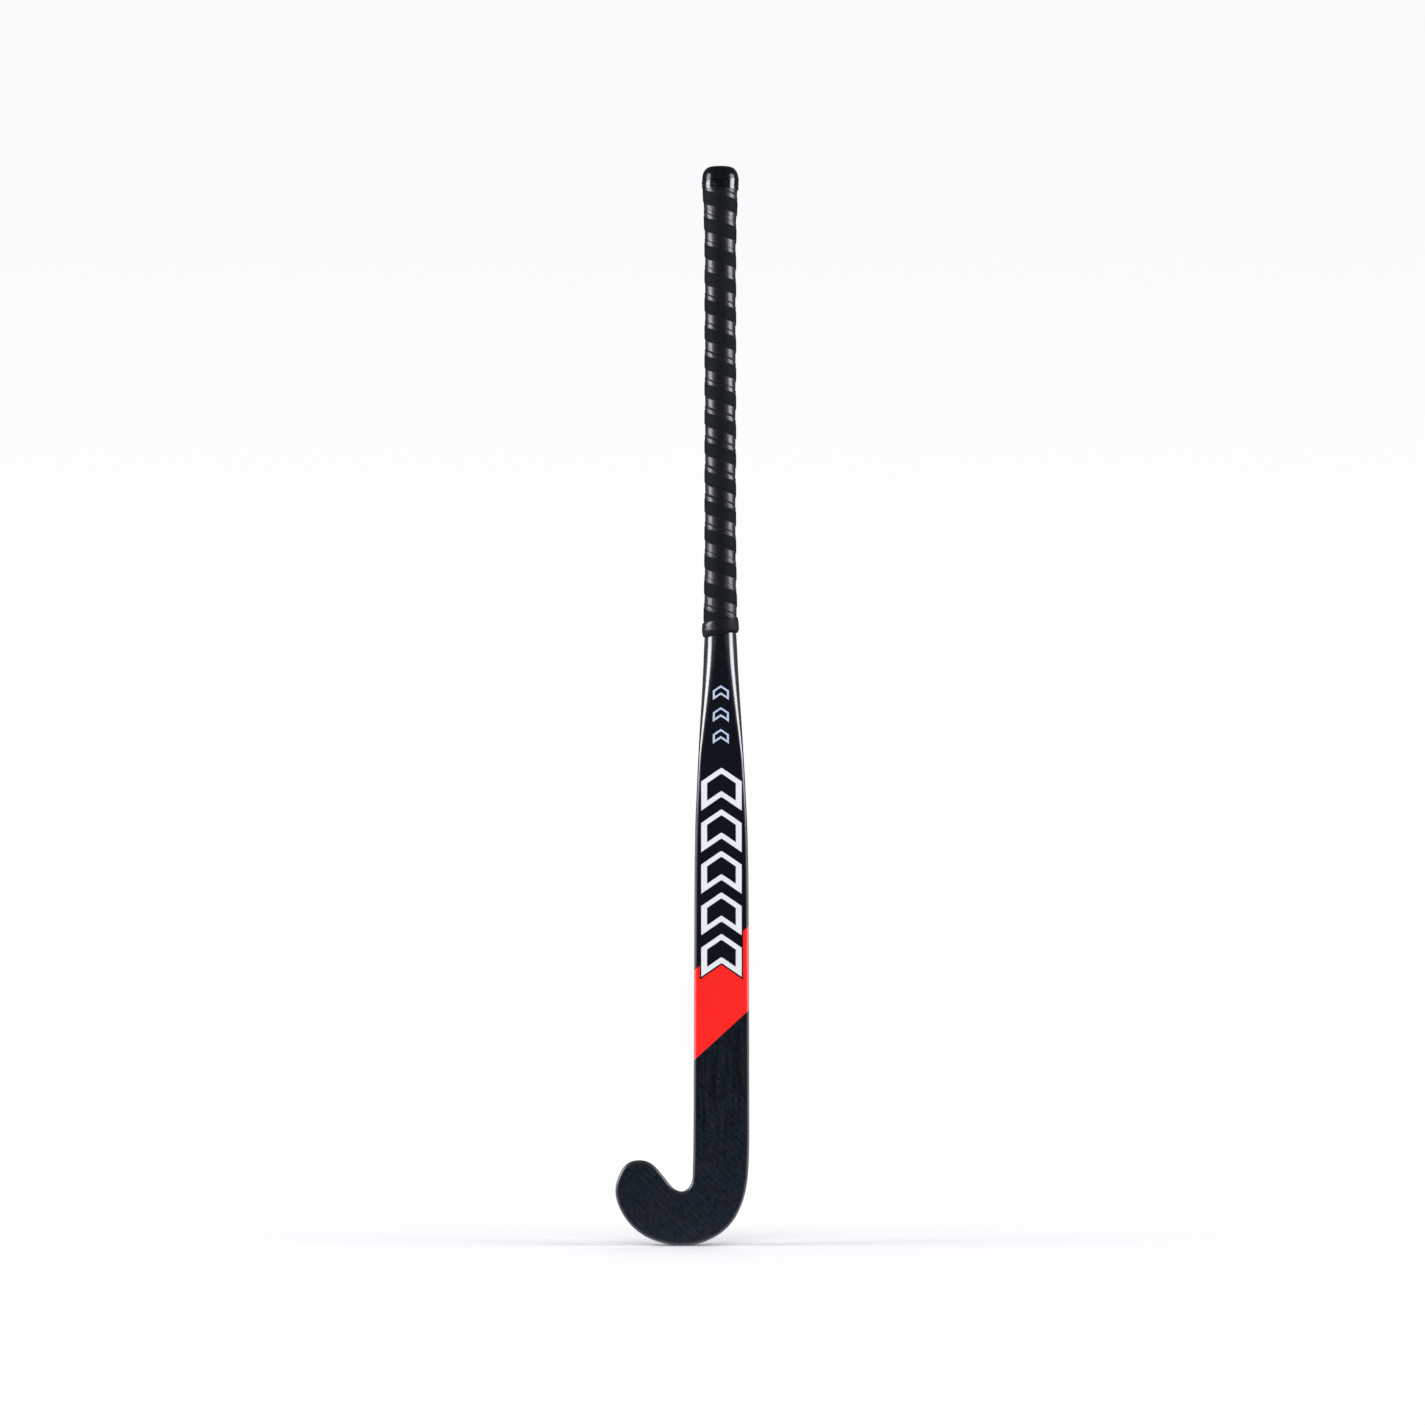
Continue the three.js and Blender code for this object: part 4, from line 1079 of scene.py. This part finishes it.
def build_finishing_tape():
    outside = densify(FINISH_OUT, 0.35)
    broad = wave_noise(21, 12, 3, 16)
    fine = wave_noise(22, 9, 10, 34)

    def tilt(phi, z):
        lower = 2.0 * np.sin(phi) * np.clip((531.0 - z) / 6.5, 0, 1)
        ripple = 0.45 * np.sin(2 * phi + 0.6) * np.clip((528.0 - z) / 3.0, 0, 1)
        return lower + ripple + finish_edge_lean(phi) * np.clip((z - 533.6) / 3.0, 0, 1)

    def offset(phi, z, i):
        """Wrinkles, finest on the heel side, and the tape's growing thickness round a turn."""
        if not 1 <= i < len(outside) - 1:
            return 0 * phi
        heel = 0.5 + 0.5 * np.sin(phi - 0.5)
        wrinkles = 0.10 * broad(phi, z * 0.9) + heel * 0.16 * fine(phi, z * 1.1 + phi * 2.0)
        layer = 0.10 * (np.mod(phi - 2.6 + (z - 530) * 0.05, TURN) / TURN)
        return wrinkles + layer - 0.05

    tape = ring_piece("finishing_wrap", outside + FINISH_IN, FINISH_VINYL, count=168,
                      offset=offset, tilt=tilt)
    attach(tape, "finishing_tape")


build_finishing_tape()


# ------------------------------------------------------------------ marks
def front_surface(x, z):
    half = half_width(z)
    return face_y(z) + edge_drop(half - np.minimum(half, np.abs(x - middle_x(z))), edge_r(z))


def front_normal(x, z, h=0.05):
    slope_x = (front_surface(x + h, z) - front_surface(x - h, z)) / (2 * h)
    slope_z = (front_surface(x, z + h) - front_surface(x, z - h)) / (2 * h)
    normal = np.stack([slope_x, -np.ones_like(slope_x), slope_z], -1)
    return normal / np.linalg.norm(normal, axis=-1, keepdims=True)


def grade(stops, step):
    """Fills the gaps between stops with steps no longer than step."""
    out = [stops[0]]
    for a, b in zip(stops[:-1], stops[1:]):
        n = max(1, int(math.ceil(abs(b - a) / step - 1e-9)))
        out += [a + (b - a) * k / n for k in range(1, n + 1)]
    return np.array(out)


def chevron(name, x0, z0, half, drop, band, side, stroke, key, materials, step, lift):
    """An outlined chevron of film, its point up. band is its height, side and stroke the widths
    of its end and long strokes, key the width of a dark keyline along them (0 for none), and
    lift the heights of the film's back and front off the face."""
    inner = half - side
    if key:
        x_stops = [-half - key, -half, -inner, -(inner - key), 0.0,
                   inner - key, inner, half, half + key]
        z_stops = [-key, 0, stroke, stroke + key,
                   band - stroke - key, band - stroke, band, band + key]
    else:
        x_stops, z_stops = [-half, -inner, 0.0, inner, half], [0, stroke, band - stroke, band]
    across, up = grade(x_stops, step), grade(z_stops, step)
    x_grid, z_grid = np.meshgrid(across, up, indexing="ij")
    # a small rounding of the point
    off_middle = np.sqrt(x_grid * x_grid + 0.35**2) - 0.35
    x, z = x0 + x_grid, z0 - drop * off_middle / half + z_grid
    base, normal = np.stack([x, front_surface(x, z), z], -1), front_normal(x, z)
    points = np.concatenate([(base + normal * lift[k]).reshape(-1, 3) for k in (1, 0)])
    uv = np.tile(np.stack([x_grid, z_grid], -1).reshape(-1, 2), (2, 1))

    mid_x = np.abs((across[:-1] + across[1:]) / 2)[:, None]
    mid_z = ((up[:-1] + up[1:]) / 2)[None, :]
    solid = ~((mid_x < inner - key) & (mid_z > stroke + key) & (mid_z < band - stroke - key))
    ink = (mid_x < half) & (mid_z > 0) & (mid_z < band)
    ink &= ~((mid_x < inner) & (mid_z > stroke) & (mid_z < band - stroke))
    padded = np.pad(solid, 1)
    # first corner of each wall, and the neighbouring cell it faces
    walls = ((0, 0, -1), (2, 0, 1), (3, -1, 0), (1, 1, 0))

    ids = np.arange(x_grid.size).reshape(x_grid.shape)
    faces, slots = [], []
    for i, j in np.argwhere(solid):
        front = [ids[i, j], ids[i + 1, j], ids[i + 1, j + 1], ids[i, j + 1]]
        back = [corner + x_grid.size for corner in front]
        cell = [front, [back[0], back[3], back[2], back[1]]]
        for a, di, dj in walls:
            if not padded[i + 1 + di, j + 1 + dj]:
                b = (a + 1) % 4
                cell.append([back[a], back[b], front[b], front[a]])
        faces += cell
        slots += [0 if ink[i, j] else 1] * len(cell)
    uvs = [uv[face] for face in faces]
    used = np.unique(np.concatenate(faces))
    faces = [np.searchsorted(used, face).tolist() for face in faces]
    return make_object(name, points[used], faces, uvs, slots, materials, angle=35)


for i in range(5):
    mark = chevron(
        "white_mark_%d" % (i + 1), x0=WHITE_X, z0=WHITE_Z + WHITE_PITCH * i, half=WHITE_HALF,
        drop=WHITE_DROP, band=25.0, side=5.0, stroke=5.0, key=0.7, materials=[WHITE, KEYLINE],
        step=2.2, lift=(0.05, 0.14) if i < 4 else (0.10, 0.19),
    )
    attach(mark, "face_mark_%d" % (i + 1))
for i in range(3):
    mark = chevron(
        "blue_mark_%d" % (i + 1), x0=33.1, z0=435.3 + 18.8 * i, half=6.9, drop=4.8, band=8.0,
        side=1.7, stroke=1.9, key=0.0, materials=[BLUE], step=0.9, lift=(0.05, 0.14),
    )
    attach(mark, "neck_mark_%d" % (i + 1))


# ------------------------------------------------------------------ CAD nodes that stay: the inside
BRAID, ARAMID = braid_material(), aramid_material()
FOAM = foam_material(
    "handle_foam", wall=(0.72, 0.66, 0.47), pore_shade=(0.50, 0.44, 0.30), cells_per_metre=900.0
)
CORE = foam_material(
    "core_foam", wall=(0.50, 0.42, 0.27), pore_shade=(0.33, 0.27, 0.17), cells_per_metre=700.0
)
NYLON = plain_grain("plug_nylon", dark=(0.008, 0.008, 0.009), light=(0.014, 0.014, 0.015), rough=0.5)
CLOTH = plain_grain(
    "adhesive_cloth", dark=(0.28, 0.26, 0.22), light=(0.36, 0.34, 0.29), rough=0.8, grain=2200.0
)
for node, material in (
    ("inner_tube_toe_side", BRAID), ("inner_tube_heel_side", BRAID),
    ("handle_foam_toe_side", FOAM), ("handle_foam_heel_side", FOAM), ("head_core", CORE),
    ("heel_reinforcement", ARAMID), ("butt_plug", NYLON), ("grip_underlay", CLOTH),
):
    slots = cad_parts[node].data.materials
    slots.clear()
    slots.append(material)

# ------------------------------------------------------------------ floor (metres from here on)
FLOOR_Z = CAD_LO.z
FLOOR_ALBEDO, FLOOR_GLOW = 0.588, 0.168
FLOOR_RADII = [0.08, 0.2, 0.5, 1.2, 2.5, 6.0]
FLOOR_SEGMENTS = 96


def backdrop_colour(n):
    """All but white, a little greyer towards the top of the view: painted shade where the backdrop's light falls
    off.
    """
    window = n.node("TexCoord").outputs["Window"]
    height = n.node("SeparateXYZ", {0: window}).outputs[1]
    white, top_shade_grey = (0.990, 0.990, 1.0), (0.945, 0.948, 0.965)
    return n.mix(n.remap(height, over=(0.55, 1.0), smooth=True), white, top_shade_grey)


def floor_material():
    material = bpy.data.materials.new("floor_white")
    n = Tree(material)
    path = n.node("LightPath").outputs

    def glow(color, diffuse, glossy, camera):
        """Emission, with a strength for each kind of ray that meets it."""
        strength = n.remap(path["Is Glossy Ray"], to=(diffuse, glossy), over=(0.0, 1.0))
        strength = n.remap(path["Is Camera Ray"], to=(strength, camera), over=(0.0, 1.0))
        return n.node("Emission", {0: color, 1: strength}).outputs[0]

    # the glow fades out under the hook, to leave its contact shadow
    contact = n.node(
        "VectorMath", {0: n.node("TexCoord").outputs["Object"], 1: (0.004, -0.010, FLOOR_Z)},
        operation="SUBTRACT",
    ).outputs[0]
    under = n.remap(n.length(contact), to=(0.0, FLOOR_GLOW), over=(0.005, 0.050), smooth=True)
    near = glow((0.97, 0.97, 1.0), diffuse=0.40, glossy=0.46, camera=under)
    far = glow(backdrop_colour(n), diffuse=0.10, glossy=0.10, camera=1.0)
    albedo = (FLOOR_ALBEDO * 0.997, FLOOR_ALBEDO, FLOOR_ALBEDO * 1.012)
    diffuse = n.node("BsdfDiffuse", {0: albedo}).outputs[0]
    lit = n.node("AddShader", {0: diffuse, 1: near}).outputs[0]
    # the floor's own light takes over with distance, so that floor and backdrop are one white
    squashed = n.scaled(n.node("TexCoord").outputs["Object"], (0.55, 1.35, 1.0))
    distance = n.remap(n.length(squashed), over=(0.06, 0.42), smooth=True)
    surface = n.node("MixShader", {0: distance, 1: lit, 2: far}).outputs[0]
    # a camera below the floor looks through it
    behind = n.node("NewGeometry").outputs["Backfacing"]
    seen = n.node("Math", {0: behind, 1: path["Is Camera Ray"]}, operation="MULTIPLY").outputs[0]
    clear = n.node("BsdfTransparent").outputs[0]
    through = n.node("MixShader", {0: seen, 1: surface, 2: clear}).outputs[0]
    n.node("OutputMaterial", {0: through})
    return material


def build_floor():
    n = FLOOR_SEGMENTS
    mesh = bpy.data.meshes.new("floor")
    points = [(0.0, 0.0, FLOOR_Z)]
    for r in FLOOR_RADII:
        points += [(r * math.cos(TURN * k / n), r * math.sin(TURN * k / n), FLOOR_Z)
                   for k in range(n)]
    faces = [(0, 1 + k, 1 + (k + 1) % n) for k in range(n)]
    for ring in range(len(FLOOR_RADII) - 1):
        a, b = 1 + ring * n, 1 + (ring + 1) * n
        faces += [(a + k, b + k, b + (k + 1) % n, a + (k + 1) % n) for k in range(n)]
    mesh.from_pydata(points, [], faces)
    ob = bpy.data.objects.new("floor", mesh)
    bpy.context.scene.collection.objects.link(ob)
    mesh.materials.append(floor_material())


build_floor()


# ------------------------------------------------------------------ world and lights
def build_world():
    world = bpy.data.worlds.new("studio")
    bpy.context.scene.world = world
    n = Tree(world)
    seen = n.node("Background", {0: backdrop_colour(n)}).outputs[0]
    # in reflections and as light: dim in front of the stick, paler behind it
    direction = n.node("TexCoord").outputs["Generated"]
    y = n.node("SeparateXYZ", {0: direction}).outputs[1]
    strength = n.remap(y, to=(0.02, 0.09), over=(-0.35, 0.75), smooth=True)
    light = n.node("Background", {0: (0.93, 0.96, 1.0), 1: strength}).outputs[0]
    camera_ray = n.node("LightPath").outputs["Is Camera Ray"]
    mixed = n.node("MixShader", {0: camera_ray, 1: light, 2: seen}).outputs[0]
    n.node("OutputWorld", {0: mixed})


def soften(light, widths):
    """Fades the light towards its frame over these shares of its width and height."""
    n = Tree(light, clear=False)
    emission = next(node for node in n.tree.nodes if node.type == "EMISSION")
    place = n.node("SeparateXYZ", {0: n.node("NewGeometry").outputs["Parametric"]}).outputs
    fades = []
    for axis, width in enumerate(widths):
        centred = n.node("Math", {0: place[axis], 1: 0.5}, operation="SUBTRACT").outputs[0]
        distance = n.node("Math", {0: centred}, operation="ABSOLUTE").outputs[0]
        fades.append(n.remap(distance, to=(1.0, 0.0), over=(0.5 - width, 0.5), smooth=True))
    product = n.node("Math", {0: fades[0], 1: fades[1]}, operation="MULTIPLY").outputs[0]
    n.put(emission, "Strength", product)


def softbox(name, at, aim, size, radiance, glossy=True, color=(1, 1, 1), soft=None):
    light = bpy.data.lights.new(name, "AREA")
    light.shape, light.color = "RECTANGLE", color
    light.size, light.size_y = size
    light.energy = radiance * math.pi * size[0] * size[1]
    ob = bpy.data.objects.new(name, light)
    bpy.context.scene.collection.objects.link(ob)
    ob.location = at
    ob.rotation_euler = (Vector(aim) - Vector(at)).to_track_quat("-Z", "Y").to_euler()
    ob.visible_camera = False
    ob.visible_glossy = glossy
    if soft:
        soften(light, soft)
    return ob


build_world()
LIGHTS_X = 0.03
for side, name, radiance in ((-1, "left", 10.8), (1, "right", 9.6)):
    softbox("softbox_" + name, at=(LIGHTS_X + side * 1.236, -0.184, 0.91),
            aim=(LIGHTS_X, 0.0, 0.91), size=(0.78, 1.10), radiance=radiance,
            color=(0.975, 0.99, 1.035), soft=(0.15, 0.125))
    card = softbox("card_" + name, at=(LIGHTS_X + side * 1.5, -0.45, 0.18),
                   aim=(LIGHTS_X, -0.45, 0.18), size=(3.8, 0.36), radiance=1.5)
    card.visible_diffuse = False
softbox("fill_front", at=(0.0, -2.3, 1.7), aim=(0.0, 0.0, 0.40), size=(2.2, 2.2),
        radiance=4.45, glossy=False)
softbox("fill_back", at=(0.3, 2.4, 1.4), aim=(0.0, 0.0, 0.45), size=(1.8, 1.8),
        radiance=3.0, glossy=False)

# ------------------------------------------------------------------ camera
VIEW_W = 1.2236  # width of the view at the stick
CAMERA_X, CAMERA_Z, CAMERA_BACK = 0.0259, 0.4576, 7.0
STICK_FRONT = 0.012  # the view is measured this far in front of y = 0
SENSOR_W = 36.0

camera = bpy.data.cameras.new("camera")
camera.sensor_width = SENSOR_W
camera.lens = SENSOR_W * (CAMERA_BACK - STICK_FRONT) / VIEW_W
camera.clip_start, camera.clip_end = 0.05, 40.0
camera_ob = bpy.data.objects.new("camera", camera)
bpy.context.scene.collection.objects.link(camera_ob)
camera_ob.location = (CAMERA_X, -CAMERA_BACK, CAMERA_Z)
camera_ob.rotation_euler = (math.pi / 2, 0, 0)
bpy.context.scene.camera = camera_ob
bpy.context.scene.view_settings.view_transform = "Standard"
bpy.context.scene.view_settings.look = "None"
